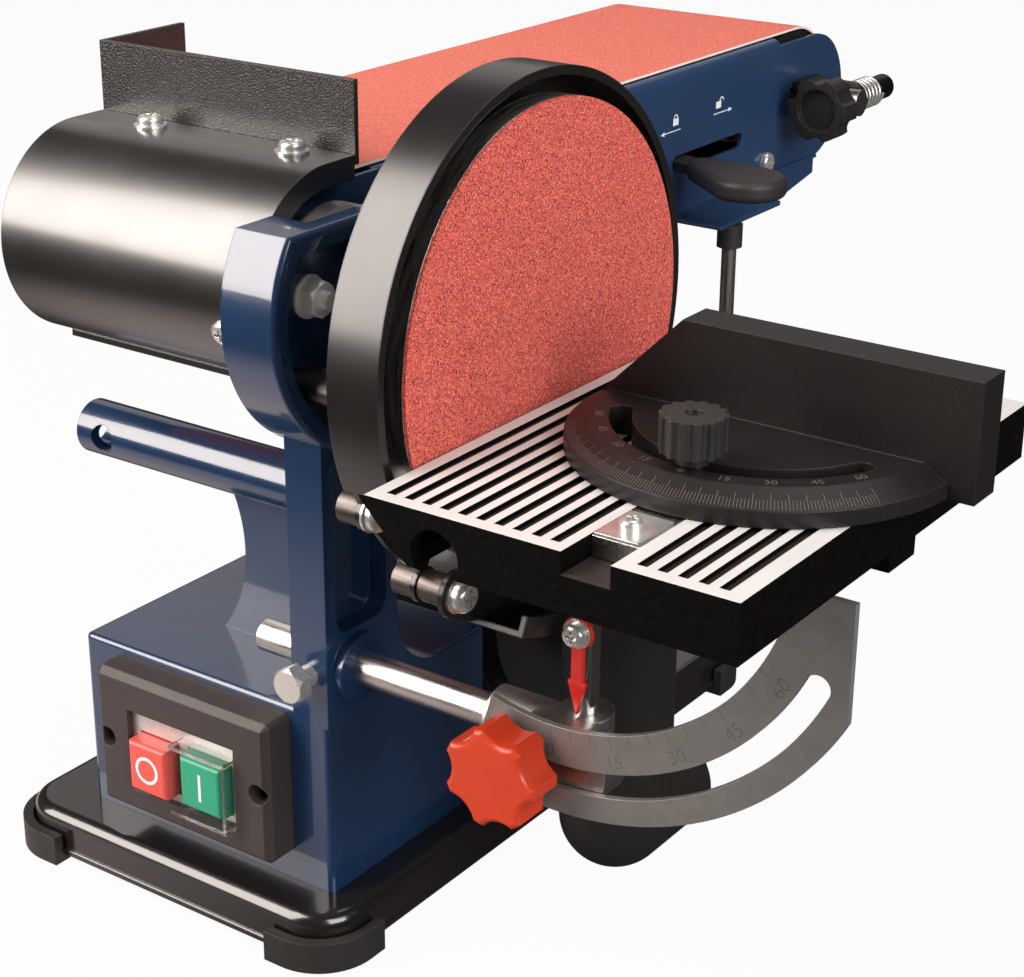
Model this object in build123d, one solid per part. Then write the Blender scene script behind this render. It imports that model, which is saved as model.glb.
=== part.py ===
from build123d import *
import math
import os

# Belt and disc sander for the bench, millimetres.
# Worked in the spindle's own frame: the disc face lies at X zero, the belt runs along Y, Z is up.
# Every piece is then moved so that the origin is on the ground under the middle of the whole machine.

# Fits and gaps shared by many pieces
RUN_FIT = 0.04
SEAT_FIT = 0.05
AIR = 0.4
CUT = 1.0
ALMOST = 0.98

# Heights of the stand
SPINDLE_H = 238.0
FOOT_FLOOR = 3.0
BASE_H = 17.0
BOX_H = 71.0

# Base plate and feet
BASE_X = -136.2
BASE_Y = 97.2
BASE_W = 158.0
BASE_L = 293.6
BASE_R = 18.0
BASE_EDGE_R = 5.0
BASE_T = 1.5
BASE_BEAD = 1.0
BASE_BEAD_H = 3.0
TONGUE_W = 24.0
TONGUE_END = 12.0
FOOT_WALL = 5.0
FOOT_ARM = 31.0
FOOT_UP = 9.0
FOOT_LEDGE = 12.0

# Cast frame
BOX_FRONT_X = -70.0
BOX_D = 119.0
BOX_FRONT_Y = -31.0
BOX_W = 94.0
BOX_WALL = 4.0
BOX_EDGE_R = 2.5
POST_T = 16.0
POST_W = 40.0
POCKET_D = 8.0
POCKET_RIB = 6.0
POCKET_LOW = -117.0
POCKET_TOP = -58.0
FLARE_R = 25.0
HOUSING_R = 54.0
HOUSING_FLAT = 30.0
HOUSING_FRONT = -68.0
HOUSING_W = 23.0
NOTCH_HALF = 27.0
NOTCH_D = 7.6
NOTCH_LIP = 1.5
RIM_T = 6.5
RIM_EDGE_R = 2.5
RECESS_D = 7.0
WEB_T = 5.0
HUB_R = 22.0
HUB_L = 13.0
TUBE_Y = 8.0
TUBE_Z = -81.0
TUBE_R = 10.5
TUBE_BORE = 6.2
TUBE_L = 130.0
TUBE_HOLE_R = 5.4
TUBE_HOLE_IN = 13.0
TUBE_ROOT_R = 13.0
GUSSET_T = 7.0
GUSSET_TOP_L = 62.0
GUSSET_MID_L = 52.0
GUSSET_FOOT_L = 65.0
BOLT_PILLAR_R = 7.0
BOLT_PILLAR_IN = 12.0
BASE_BOLT_R = 2.5
BASE_BOLT_DEEP = 14.0
BASE_HEAD_R = 5.0
BASE_HEAD_H = 4.0

# Spindle and what it carries
DISC_R = 75.0
GRIT_T = 1.2
DISC_T = 8.0
DISC_HUB_R = 15.0
DISC_HUB_L = 30.0
SPINDLE_R = 7.5
SPINDLE_NOSE = 3.0
BEARING_R = 17.5
BEARING_W = 11.0
BEARING_RIM = 3.0
BEARING_DISH = 1.0
PULLEY_R = 28.0
PULLEY_LIP = 2.0
PULLEY_RIM_H = 3.5
PULLEY_W = 14.0
PULLEY_X = -60.0
DRUM_R = 30.0
DRUM_OVER = 0.5
DRUM_WALL = 6.0
DISH_SPARE = 2.0
BELT_W = 100.0
BELT_LENGTH = 915.0
BELT_T = 1.0
BELT_AIR = 0.3

# Swing pivot of the belt arm
PIVOT_RING_R = 28.6
PIVOT_RING_W = 6.0
PIVOT_BORE_R = 23.0
PIVOT_FLANGE_GAP = 4.5
PIVOT_FLANGE_T = 5.0
PIVOT_BOLT_R = 3.0
PIVOT_BOLT_CIRCLE = 30.0
PIVOT_BOLT_ANGLES = (168.0, 253.0, 338.0)
PIVOT_BOLT_OUT = 3.0
PIVOT_WASHER_R = 7.4
PIVOT_NUT_R = 6.6
PIVOT_NUT_H = 6.0
PIVOT_SPIGOT_R = 14.0
PIVOT_SHAFT_GAP = 3.0

# Belt arm
ARM_GAP = 12.0
SHEET = 2.0
BELT_SIDE = 3.0
BELT_FAR_SIDE = 1.2
WEB_GAP = 0.6
WEB_START = 44.0
WEB_SHORT = 33.0
BEND_R = 4.5
ARM_SHOULDER = 2.7
ARM_DROP = 32.0
ARM_TAIL = 9.3
FLANGE_IN = 128.0
FLANGE_L = 52.0
FLANGE_W = 26.5
TAB_IN = 35.0
TAB_L = 40.0
TAB_DROP = 15.0
TAB_END_DROP = 7.5
TAB_LIP = 1.5
LEVER_Z = -10.0
LEVER_SLOT_H = 6.8
LEVER_SLOT_SPARE = 19.5
ARM_SCREW_IN = 43.0
ARM_SCREW_Z = -25.0

# Drum cover and work stop
COVER_R = 39.0
COVER_Y = 2.5
COVER_Z = 2.0
COVER_T = 1.5
COVER_TO_ANGLE = 246.0
COVER_END_GAP = 1.5
COVER_LIP = 2.5
COVER_LIP_IN = 11.0
STOP_Y = 18.0
STOP_T = 2.0
STOP_H = 25.5
STOP_FOOT = 15.0
STOP_RETURN = 43.0
STOP_SCREW_X = (-178.0, -112.0)
STOP_SCREW_Y = 8.0
COVER_SCREW_ANGLE = 199.0
COVER_SCREW_IN = 2.0
COVER_EAR = 8.0
COVER_CLEAR = 2.0

# Idler, tension lever and tracking
TENSION_TRAVEL = 8.0
IDLER_SHORT = 2.0
AXLE_R = 6.0
AXLE_END = 3.0
STRAP_T = 1.5
STRAP_H = 20.0
CROSSBAR_D = 8.0
CROSSBAR_GAP = 8.0
PUSHER_W = 26.0
PUSHER_H = 10.0
PUSHER_SET = 10.0
LEVER_X = -150.0
LEVER_IN = 101.0
LEVER_REST_ANGLE = -21.0
LEVER_SWING_ANGLE = 40.0
LEVER_PIN_R = 4.0
LEVER_PIN_HEAD_R = 6.0
LEVER_HUB_R = 9.0
LEVER_HUB_H = 8.0
LEVER_T = 4.0
LEVER_ARM_W = 11.0
LEVER_GRIP_IN = 60.0
LEVER_GRIP_OUT = 112.0
LEVER_GRIP_ROOT = 8.0
LEVER_GRIP_TIP = 16.0
LEVER_GRIP_T = 9.0
CAM_PHASE_ANGLE = 50.0
CAM_R = 10.0
CAM_AIR = 0.6
TRACK_X = -82.0
TRACK_KNOB_L = 15.0
TRACK_KNOB_R = 14.5
TRACK_KNOB_LOBES = 6
TRACK_KNOB_DIP = 2.4
TRACK_KNOB_HOLLOW = 4.7
TRACK_COLLAR_R = 7.0
TRACK_COLLAR_L = 3.0
TRACK_FACE_R = 9.5
TRACK_FACE_D = 3.0
TRACK_GRIP = 9.0
TRACK_SCREW_R = 3.0
TRACK_PLATE_T = 5.0
TRACK_PLATE_H = 17.0
TRACK_ROUND = 0.8
TRACK_SEAT_T = 3.0
TRACK_SEAT_H = 15.0
SPRING_AIR = 0.3
TRACK_SPRING_R = 6.5
TRACK_WIRE = 1.6
TRACK_TURNS = 5
TRACK_PITCH = 3.4
TRACK_NUT_R = 5.8
TRACK_NUT_L = 13.0
TRACK_NUT_EDGE = 1.0

# Arm rest rod behind the base
REST_X = -80.0
REST_IN = 14.0
REST_R = 3.2
REST_CAP_R = 5.5
REST_CAP_L = 10.0
REST_NUT_R = 6.5
REST_NUT_H = 5.0

# Disc guard and dust hood
GUARD_R = 84.0
GUARD_T = 3.0
GUARD_W = 19.0
GUARD_SET = 3.3
GUARD_FROM_ANGLE = -22.0
GUARD_TO_ANGLE = 203.0
GUARD_BACK = 2.0
GUARD_HOLE = 30.0
GUARD_POST_R = 5.0
GUARD_POST_GAP = 1.0
GUARD_POST_ANGLES = (20.0, 212.0, 290.0)
EAR_SET = 17.5
EAR_T = 2.0
EAR_IN = 78.0
EAR_LAP = 4.0
EAR_R = 6.0
STUD_YS = (-71.0, -44.5)
STUD_ZS = (-41.0, -75.0)
STUD_R = 5.3
STUD_REAR = 8.0
STUD_SCREW_R = 2.4
STUD_HEAD_R = 5.5
STUD_HEAD_H = 4.5
STUD_WASHER_R = 6.2
LUG_SET = 6.0
LUG_T = 2.0
LUG_R = 8.0
HOOD_R = 95.0
HOOD_T = 2.0
HOOD_IN = 79.0
HOOD_FROM_ANGLE = 238.0
HOOD_TO_ANGLE = 322.0
TROUGH_FROM_ANGLE = 246.0
TROUGH_REAR = -15.0
TROUGH_FRONT = 17.0
TROUGH_LIP = 7.0
PIPE_X = 8.0
PIPE_Y = 34.0
PIPE_R = 20.0
PIPE_T = 2.5
PIPE_ELBOW = -187.0
PIPE_OUT = 34.0

# Motor and drive belt
MOTOR_Y = 128.0
MOTOR_Z = -150.0
MOTOR_R = 57.0
MOTOR_L = 116.0
MOTOR_FRONT = -72.0
MOTOR_RIM = 2.0
MOTOR_SHIELD = 12.0
MOTOR_FOOT_L = 80.0
MOTOR_FOOT_W = 86.0
MOTOR_FOOT_T = 6.0
MOTOR_SHAFT_R = 7.0
MOTOR_SHAFT_IN = 70.0
MOTOR_BOLT_R = 3.0
MOTOR_BOLT_HEAD = 5.5
MOTOR_BOLT_H = 4.0
MOTOR_BOLT_IN = 8.0
DRIVE_T = 3.0
DRIVE_AIR = 0.2

# Magnetic switch
SWITCH_X = -129.5
SWITCH_W = 83.5
SWITCH_Z = -178.3
SWITCH_H = 56.5
SWITCH_D = 13.5
SWITCH_R = 2.5
WINDOW_W = 52.0
WINDOW_H = 33.0
WINDOW_D = 3.0
WINDOW_DROP = 2.0
BUTTON_TRAVEL = 3.0
BUTTON_GAP = 0.5
BUTTON_EDGE = 1.5
BUTTON_WELL = 7.0
BUTTON_H = 20.0
BUTTON_DROP = 9.0
STOP_BUTTON_IN = 4.5
STOP_BUTTON_W = 18.0
START_BUTTON_IN = 28.0
START_BUTTON_W = 19.5
STOP_BUTTON_OUT = 5.0
START_BUTTON_OUT = 3.0
SHROUD_T = 1.4
SHROUD_IN = 25.0
SHROUD_DROP = 4.6
SHROUD_OUT = 5.0
SWITCH_HOLE_R = 4.0
SWITCH_HOLE_IN = 5.0
SWITCH_HOLE_D = 9.0
SWITCH_SCREW_R = 1.8
SWITCH_SCREW_HEAD = 3.4

# Table, its hinge and its quadrant
TABLE_NEAR = 1.5
TABLE_FAR = 125.0
TABLE_FRONT = -97.0
TABLE_BACK = 87.0
TABLE_TOP = -22.0
TABLE_T = 4.0
TABLE_SKIRT = 18.5
TABLE_WALL = 5.0
TABLE_CHAMFER = 15.5
MITER_SLOT_X = 77.5
MITER_SLOT_W = 16.0
MITER_SLOT_D = 7.0
SLOT_RIB = 5.0
GROOVE_PITCH = 6.3
GROOVE_W = 3.2
GROOVE_D = 1.5
GROOVE_MARGIN = 5.0
GROOVES_LEFT = 10
GROOVES_RIGHT = 5
GROOVE_LEFT_GAP = 5.2
GROOVE_RIGHT_GAP = 6.7
NOTCH_R = 8.5
NOTCH_UP = 5.0
HINGE_X = 26.5
HINGE_Z = -31.5
HINGE_PIN_R = 2.5
HINGE_EYE_R = 5.0
HINGE_EYE_L = 10.0
HINGE_LUG_R = 6.0
HINGE_LUG_T = 4.5
BAR_Y = -15.5
QUAD_Y = -36.0
QUAD_T = 2.4
QUAD_IN = 84.0
QUAD_SLOT_IN = 97.2
QUAD_SLOT_OUT = 105.7
QUAD_OUT = 114.6
QUAD_FROM_ANGLE = -16.0
QUAD_SLOT_FROM_ANGLE = -10.0
QUAD_SLOT_TO_ANGLE = 65.0
QUAD_RIGHT_ANGLE = 63.1
QUAD_BOW_ANGLE = 76.0
QUAD_DROP = 4.5
QUAD_LUG_W = 11.0
QUAD_LUG_DOWN = 7.0
QUAD_LUG_AIR = 0.8
QUAD_BLOCK_T = 6.0
QUAD_SCREW_R = 1.5
QUAD_SCREW_HEAD = 2.6
QUAD_SCREW_HEAD_H = 2.2
QUAD_SCREW_STEP = 6.0
CORNER_LUG_Y = -8.0
CORNER_LUG_W = 10.0
CORNER_LUG_L = 17.0
CORNER_LUG_H = 6.0

# Table carrier
BAR_R = 6.0
BAR_Z = -131.5
BAR_START = -111.0
BAR_IN = 12.0
BAR_BOSS_R = 13.0
BAR_BOSS_H = 4.0
LOCK_X = -78.0
LOCK_R = 4.0
LOCK_HEAD_R = 7.0
LOCK_HEAD_H = 6.0
LOCK_OUT = 6.0
BLOCK_START = -8.0
BLOCK_R = 10.5
CLAMP_W = 40.0
CLAMP_H = 25.0
CLAMP_X = 25.5
CLAMP_D = 13.0
POST_R = 4.4
POST_SOCKET_R = 9.5
POST_SOCKET_TOP = -119.0
POINTER_Z = -89.0
POINTER_T = 1.5
POINTER_R = 5.5
POINTER_W = 4.4
POINTER_HEAD_W = 7.0
POINTER_HEAD_L = 12.0
POINTER_TIP = -118.5
POINTER_SCREW_R = 2.0
POINTER_HEAD_R = 4.0
POINTER_WASHER_R = 5.0
TILT_KNOB_R = 17.5
TILT_KNOB_LOBES = 7
TILT_KNOB_L = 14.5
TILT_KNOB_DIP = 3.0
TILT_KNOB_EDGE = 2.0
TILT_KNOB_HOLLOW = 9.5
TILT_ANGLE = -7.0
TILT_STUD_IN = 10.0
TILT_COLLAR_R = 9.0
TILT_COLLAR_L = 3.0
TILT_STUD_R = 3.9

# Miter gauge
MITER_SIDE = 0.15
MITER_BAR_T = 6.4
MITER_UNDER = 0.3
MITER_BAR_FRONT = -82.0
MITER_BAR_BACK = 42.0
MITER_PIVOT_Y = 2.0
MITER_PIVOT_R = 4.0
MITER_AIR = 0.3
MITER_R = 61.0
MITER_WALL_H = 5.0
MITER_H = 9.5
MITER_BEVEL = 7.5
MITER_SLOT_R = 44.0
MITER_ARC_W = 7.0
MITER_ARC_TO_ANGLE = 66.0
FENCE_LEFT = 22.0
FENCE_RIGHT = 147.0
FENCE_FRONT = -3.0
FENCE_T = 13.5
FENCE_H = 37.0
FENCE_CUT = 28.0
MITER_STUD_R = 3.0
MITER_KNOB_R = 10.0
MITER_KNOB_L = 11.5
MITER_KNOB_RIBS = 14
MITER_KNOB_DIP = 1.0
MITER_KNOB_HOLLOW = 1.4
MITER_DIMPLE_R = 2.6
MITER_DIMPLE_D = 1.2
MITER_COLLAR_R = 5.0
MITER_COLLAR_L = 3.5
CURSOR_L = 19.0
CURSOR_T = 1.0
CURSOR_SCREW_Y = -74.0
CURSOR_SCREW_R = 1.8
CURSOR_SCREW_HEAD = 3.4
CURSOR_SIDE = 1.0

# Common screw heads
PAN_R = 4.6
PAN_SHANK_R = 1.8
PAN_H = 3.2
WASHER_R = 6.0
WASHER_T = 1.0
CROSS_W = 1.1
CROSS_D = 1.4
HEX_TURN = 0.2
HEX_CORNER = 0.16

# Positions that follow from the sizes above
GROUND = -SPINDLE_H
SKIRT_LOW = GROUND + FOOT_FLOOR
BASE_TOP = SKIRT_LOW + BASE_H
BOX_TOP = BASE_TOP + BOX_H
BOX_BACK_X = BOX_FRONT_X - BOX_D
BOX_BACK_Y = BOX_FRONT_Y + BOX_W
POST_BACK_X = BOX_FRONT_X - POST_T
POST_BACK_Y = BOX_FRONT_Y + POST_W
HOUSING_REAR = HOUSING_FRONT - HOUSING_W
WEB_FRONT = HOUSING_FRONT - RECESS_D
WEB_REAR = WEB_FRONT - WEB_T
HUB_END = WEB_FRONT + HUB_L
PIVOT_FLANGE_R = HOUSING_R - RIM_T - PIVOT_FLANGE_GAP
GUARD_POST_CIRCLE = HOUSING_R - RIM_T - GUARD_POST_GAP - GUARD_POST_R
ARM_NEAR = HOUSING_REAR - ARM_GAP
ARM_INNER = ARM_NEAR - SHEET
BELT_NEAR = ARM_INNER - BELT_SIDE
BELT_FAR = BELT_NEAR - BELT_W
ARM_FAR_INNER = BELT_FAR - BELT_FAR_SIDE
ARM_FAR = ARM_FAR_INNER - SHEET
IDLER_Y = (BELT_LENGTH - 2 * math.pi * (DRUM_R + BELT_T / 2)) / 2
ARM_END_Y = IDLER_Y + ARM_TAIL
WEB_STOP = ARM_END_Y - WEB_SHORT
FLANGE_Y = ARM_END_Y - FLANGE_IN
TAB_Y = ARM_END_Y - TAB_IN
ARM_SCREW_Y = ARM_END_Y - ARM_SCREW_IN
LEVER_Y = ARM_END_Y - LEVER_IN
REST_Y = FLANGE_Y + REST_IN
STUD_AT = list(zip(STUD_YS, STUD_ZS))
HOOD_STUD = STUD_AT[-1]
WEB_TOP = DRUM_R - WEB_GAP
SHOULDER_Z = WEB_TOP - ARM_SHOULDER
COVER_NEAR = HOUSING_REAR - COVER_END_GAP
DISC_BACK = -GRIT_T - DISC_T
GUARD_FRONT = -GUARD_SET
GUARD_REAR = GUARD_FRONT - GUARD_W
BASE_BACK = BASE_Y + BASE_L / 2
MOTOR_MID = MOTOR_FRONT - MOTOR_L / 2
PULLEY_END = PULLEY_X + PULLEY_W
DRUM_DISH = BEARING_W + DISH_SPARE
ARM_NOSE_R = COVER_R - COVER_T - SEAT_FIT
COVER_SCREW_X = ARM_INNER - COVER_SCREW_IN
COVER_TOP = COVER_Z + COVER_R
STOP_SEAT = COVER_TOP - COVER_T
STOP_TOP = COVER_TOP + STOP_H
CAM_E = TENSION_TRAVEL / math.cos(math.radians(CAM_PHASE_ANGLE))
PUSHER_Y = LEVER_Y + TENSION_TRAVEL + CAM_R + CAM_AIR
CROSSBAR_Y = IDLER_Y - DRUM_R - CROSSBAR_GAP - CROSSBAR_D
LEVER_REACH = ARM_NEAR - LEVER_X
LEVER_SLOT_HALF = LEVER_ARM_W / 2 + CUT
LEVER_SLOT_FROM = LEVER_Y + LEVER_REACH * math.tan(math.radians(LEVER_REST_ANGLE)) - LEVER_SLOT_HALF
LEVER_END_TURN = math.radians(LEVER_REST_ANGLE + LEVER_SWING_ANGLE)
LEVER_SLOT_TO = LEVER_Y + LEVER_REACH * math.tan(LEVER_END_TURN) + LEVER_SLOT_SPARE
TRACK_PLATE_Y = IDLER_Y - AXLE_R - SEAT_FIT - TRACK_PLATE_T
TRACK_KNOB_Y = TRACK_PLATE_Y - AIR - TRACK_KNOB_L
TRACK_SEAT_Y = IDLER_Y + AXLE_R + SEAT_FIT + TRACK_SEAT_T
TRACK_NUT_Y = TRACK_SEAT_Y + 2 * SPRING_AIR + TRACK_TURNS * TRACK_PITCH + TRACK_WIRE
REST_TOP = -ARM_DROP - SHEET - AIR
EAR_REAR = -EAR_SET - EAR_T / 2
LUG_X = -LUG_SET
SWITCH_FRONT = BOX_FRONT_Y - SWITCH_D
WINDOW_Z = SWITCH_Z - WINDOW_DROP
WINDOW_FLOOR = SWITCH_FRONT + WINDOW_D
WINDOW_LEFT = SWITCH_X - WINDOW_W / 2
WINDOW_TOP = WINDOW_Z + WINDOW_H / 2
WELL_FLOOR = WINDOW_FLOOR + BUTTON_WELL
SWITCH_SEAT = SWITCH_FRONT + SWITCH_HOLE_D
SWITCH_SCREW_XS = [SWITCH_X + side * (SWITCH_W / 2 - SWITCH_HOLE_IN) for side in (-1, 1)]
TABLE_LOW = TABLE_TOP - TABLE_SKIRT
TABLE_ROOF = TABLE_TOP - TABLE_T
QUAD_NOTCH = TABLE_LOW - QUAD_DROP
QUAD_LUG_RIGHT = TABLE_FAR - TABLE_WALL - QUAD_LUG_AIR
QUAD_LUG_LEFT = QUAD_LUG_RIGHT - QUAD_LUG_W
QUAD_LUG_TOP = TABLE_ROOF - QUAD_LUG_DOWN
QUAD_SCREW_X = (QUAD_LUG_LEFT + QUAD_LUG_RIGHT) / 2
QUAD_SCREW_ZS = [QUAD_LUG_TOP - QUAD_SCREW_HEAD - CUT - i * QUAD_SCREW_STEP for i in range(2)]
CLAMP_FRONT = QUAD_Y + QUAD_T + AIR
POINTER_FRONT = BAR_Y - POST_R - POINTER_T
TILT_RADIUS = (QUAD_SLOT_IN + QUAD_SLOT_OUT) / 2
TILT_X = HINGE_X + TILT_RADIUS * math.sin(math.radians(TILT_ANGLE))
TILT_Z = HINGE_Z - TILT_RADIUS * math.cos(math.radians(TILT_ANGLE))
TILT_STUD_END = CLAMP_FRONT + TILT_STUD_IN
MITER_BAR_LOW = TABLE_TOP - MITER_SLOT_D + MITER_UNDER
MITER_BAR_TOP = MITER_BAR_LOW + MITER_BAR_T
MITER_LOW = TABLE_TOP + MITER_AIR
MITER_STUD_Y = MITER_PIVOT_Y - MITER_SLOT_R
MIDDLE_X = (FENCE_RIGHT + BASE_X - BASE_W / 2 - FOOT_WALL) / 2
MIDDLE_Y = (TABLE_FRONT + TRACK_NUT_Y + TRACK_NUT_L) / 2
DATUM = Pos(-MIDDLE_X, -MIDDLE_Y, SPINDLE_H)


def box(x0, x1, y0, y1, z0, z1):
    """Block between two corners."""
    middle = Pos((x0 + x1) / 2, (y0 + y1) / 2, (z0 + z1) / 2)
    return middle * Box(x1 - x0, y1 - y0, z1 - z0)


def facing(point, direction):
    """Place a shape drawn along Z at a point, with its Z along a direction."""
    return Plane(origin=point, z_dir=direction).location


def rod_x(radius, x0, x1, y=0.0, z=0.0):
    plane = Plane(origin=((x0 + x1) / 2, y, z), x_dir=(0, 1, 0), z_dir=(1, 0, 0))
    return plane.location * Cylinder(radius, x1 - x0)


def rod_y(radius, y0, y1, x=0.0, z=0.0):
    plane = Plane(origin=(x, (y0 + y1) / 2, z), x_dir=(1, 0, 0), z_dir=(0, -1, 0))
    return plane.location * Cylinder(radius, y1 - y0)


def rod_z(radius, z0, z1, x=0.0, y=0.0):
    return Pos(x, y, (z0 + z1) / 2) * Cylinder(radius, z1 - z0)


def slab_x(sketch, x0, x1):
    """Extrude a sketch drawn in Y and Z."""
    plane = Plane(origin=(x0, 0, 0), x_dir=(0, 1, 0), z_dir=(1, 0, 0))
    return extrude(plane * sketch, amount=x1 - x0)


def slab_y(sketch, y0, y1):
    """Extrude a sketch drawn in X and Z."""
    plane = Plane(origin=(0, y1, 0), x_dir=(1, 0, 0), z_dir=(0, -1, 0))
    return extrude(plane * sketch, amount=y1 - y0)


def slab_z(sketch, z0, z1):
    return extrude(Pos(0, 0, z0) * sketch, amount=z1 - z0)


def patch(x0, x1, y0, y1):
    """Rectangle between two corners of a sketch."""
    return Pos((x0 + x1) / 2, (y0 + y1) / 2) * Rectangle(x1 - x0, y1 - y0)


def sector(r_in, r_out, start, stop):
    """Ring sector about the sketch origin, angles in degrees."""
    outer = CenterArc((0, 0), r_out, start, stop - start)
    inner = CenterArc((0, 0), r_in, start, stop - start)
    return make_face([outer, inner, Line(outer @ 0, inner @ 0), Line(outer @ 1, inner @ 1)])


def polygon(*points):
    return make_face(Polyline(*points, close=True))


def lobed(radius, lobes, depth, hollow_r):
    """Hand knob outline: a disc with round hollows between its lobes."""
    outline = Circle(radius)
    for i in range(lobes):
        outline -= Rot(0, 0, (i + 0.5) * 360 / lobes) * Pos(radius + hollow_r - depth, 0) * Circle(hollow_r)
    return outline


def hex_head(radius, height):
    """Hexagon along Z with its upper corners turned away."""
    blank = Pos(0, 0, height / 2) * Cylinder(radius, height)
    blank = chamfer(blank.edges().group_by(Axis.Z)[-1], HEX_TURN * height, HEX_CORNER * radius)
    return extrude(RegularPolygon(radius, 6), amount=height) & blank


def pan_screw(shank_r, length, head_r=PAN_R, head_h=PAN_H, washer_r=0.0):
    """Cross-recess pan screw along Z, its seat at zero and its shank below."""
    lift = WASHER_T if washer_r else 0.0
    head = Pos(0, 0, lift + head_h / 2) * Cylinder(head_r, head_h)
    head = fillet(head.edges().group_by(Axis.Z)[-1], head_h * 0.55)
    for turn in (0, 90):
        head -= Pos(0, 0, lift + head_h) * Rot(0, 0, turn) * Box(head_r * 1.1, CROSS_W, 2 * CROSS_D)
    screw = head + Pos(0, 0, (lift - length) / 2) * Cylinder(shank_r, length + lift)
    if washer_r:
        screw += Pos(0, 0, WASHER_T / 2) * Cylinder(washer_r, WASHER_T)
    return screw


def round_block(x0, x1, y0, y1, z0, z1, corner_r):
    """Upright block with round corners in plan."""
    plan = Pos((x0 + x1) / 2, (y0 + y1) / 2) * RectangleRounded(x1 - x0, y1 - y0, corner_r)
    return slab_z(plan, z0, z1)


# Stand

def base_outline(grow):
    return Pos(BASE_X, BASE_Y) * RectangleRounded(BASE_W + 2 * grow, BASE_L + 2 * grow, BASE_R + grow)


def bolt_points():
    """The four places where the cast box is bolted to the base."""
    xs = (BOX_BACK_X + BOLT_PILLAR_IN, BOX_FRONT_X - BOLT_PILLAR_IN)
    ys = (BOX_FRONT_Y + BOLT_PILLAR_IN, BOX_BACK_Y - BOLT_PILLAR_IN)
    return [(x, y) for x in xs for y in ys]


def motor_bolt_points():
    dx = MOTOR_FOOT_L / 2 - MOTOR_BOLT_IN
    dy = MOTOR_FOOT_W / 2 - MOTOR_BOLT_IN
    return [(MOTOR_MID + sx * dx, MOTOR_Y + sy * dy) for sx in (-1, 1) for sy in (-1, 1)]


def base_plate():
    tray = slab_z(base_outline(0), SKIRT_LOW, BASE_TOP)
    tray = fillet(tray.edges().group_by(Axis.Z)[-1], BASE_EDGE_R)
    hollow = slab_z(base_outline(-BASE_T), SKIRT_LOW - CUT, BASE_TOP - BASE_T)
    hollow = fillet(hollow.edges().group_by(Axis.Z)[-1], BASE_EDGE_R - BASE_T)
    tongue = box(REST_X - TONGUE_W / 2, REST_X + TONGUE_W / 2, BASE_BACK - TONGUE_W, REST_Y + TONGUE_END,
                 BASE_TOP - BASE_T, BASE_TOP)
    bead = slab_z(base_outline(BASE_BEAD), SKIRT_LOW, SKIRT_LOW + BASE_BEAD_H)
    bead = fillet(bead.edges().filter_by(Plane.XY), BASE_BEAD * ALMOST)
    tray = tray + bead - hollow + tongue
    holes = [(x, y, BASE_BOLT_R) for x, y in bolt_points()]
    holes += [(x, y, MOTOR_BOLT_R) for x, y in motor_bolt_points()]
    holes += [(REST_X, REST_Y, REST_R)]
    for x, y, radius in holes:
        tray -= rod_z(radius + SEAT_FIT, BASE_TOP - BASE_EDGE_R, BASE_TOP + CUT, x, y)
    return tray


def feet():
    """Rubber corner boots round the skirt of the base."""
    ring = slab_z(base_outline(FOOT_WALL), GROUND, SKIRT_LOW + FOOT_UP)
    ring -= slab_z(base_outline(BASE_BEAD), SKIRT_LOW, SKIRT_LOW + FOOT_UP + CUT)
    ring -= slab_z(base_outline(-FOOT_LEDGE), GROUND - CUT, SKIRT_LOW + CUT)
    boots = []
    for sx in (-1, 1):
        for sy in (-1, 1):
            x = BASE_X + sx * (BASE_W / 2 + FOOT_WALL)
            y = BASE_Y + sy * (BASE_L / 2 + FOOT_WALL)
            corner = Box(2 * FOOT_ARM, 2 * FOOT_ARM, 4 * (FOOT_UP + FOOT_FLOOR))
            boots.append(ring & Pos(x, y, GROUND) * corner)
    return boots


def base_bolts():
    bolts = []
    for x, y in bolt_points():
        head = Pos(x, y, BASE_TOP - BASE_T - BASE_HEAD_H) * hex_head(BASE_HEAD_R, BASE_HEAD_H)
        bolts.append(head + rod_z(BASE_BOLT_R, BASE_TOP - BASE_T, BASE_TOP + BASE_BOLT_DEEP, x, y))
    return bolts


def housing_outline(radius, flat):
    """Round housing with a flat top, seen along the spindle."""
    return Circle(radius) - patch(-2 * radius, 2 * radius, flat, flat + 2 * radius)


def cast_box():
    shell = round_block(BOX_BACK_X, BOX_FRONT_X, BOX_FRONT_Y, BOX_BACK_Y, BASE_TOP, BOX_TOP, BOX_EDGE_R)
    shell = fillet(shell.edges().group_by(Axis.Z)[-1], BOX_EDGE_R * 0.8)
    shell -= box(BOX_BACK_X + BOX_WALL, BOX_FRONT_X - BOX_WALL, BOX_FRONT_Y + BOX_WALL,
                 BOX_BACK_Y - BOX_WALL, BASE_TOP - CUT, BOX_TOP - BOX_WALL)
    for x, y in bolt_points():
        shell += rod_z(BOLT_PILLAR_R, BASE_TOP, BOX_TOP - BOX_WALL, x, y)
        shell -= rod_z(BASE_BOLT_R + SEAT_FIT, BASE_TOP - CUT, BASE_TOP + BASE_BOLT_DEEP + AIR, x, y)
    for x in SWITCH_SCREW_XS:
        inside = BOX_FRONT_Y + BOX_WALL + CUT
        shell -= rod_y(SWITCH_SCREW_R + SEAT_FIT, BOX_FRONT_Y - CUT, inside, x, SWITCH_Z)
    return shell


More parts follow.
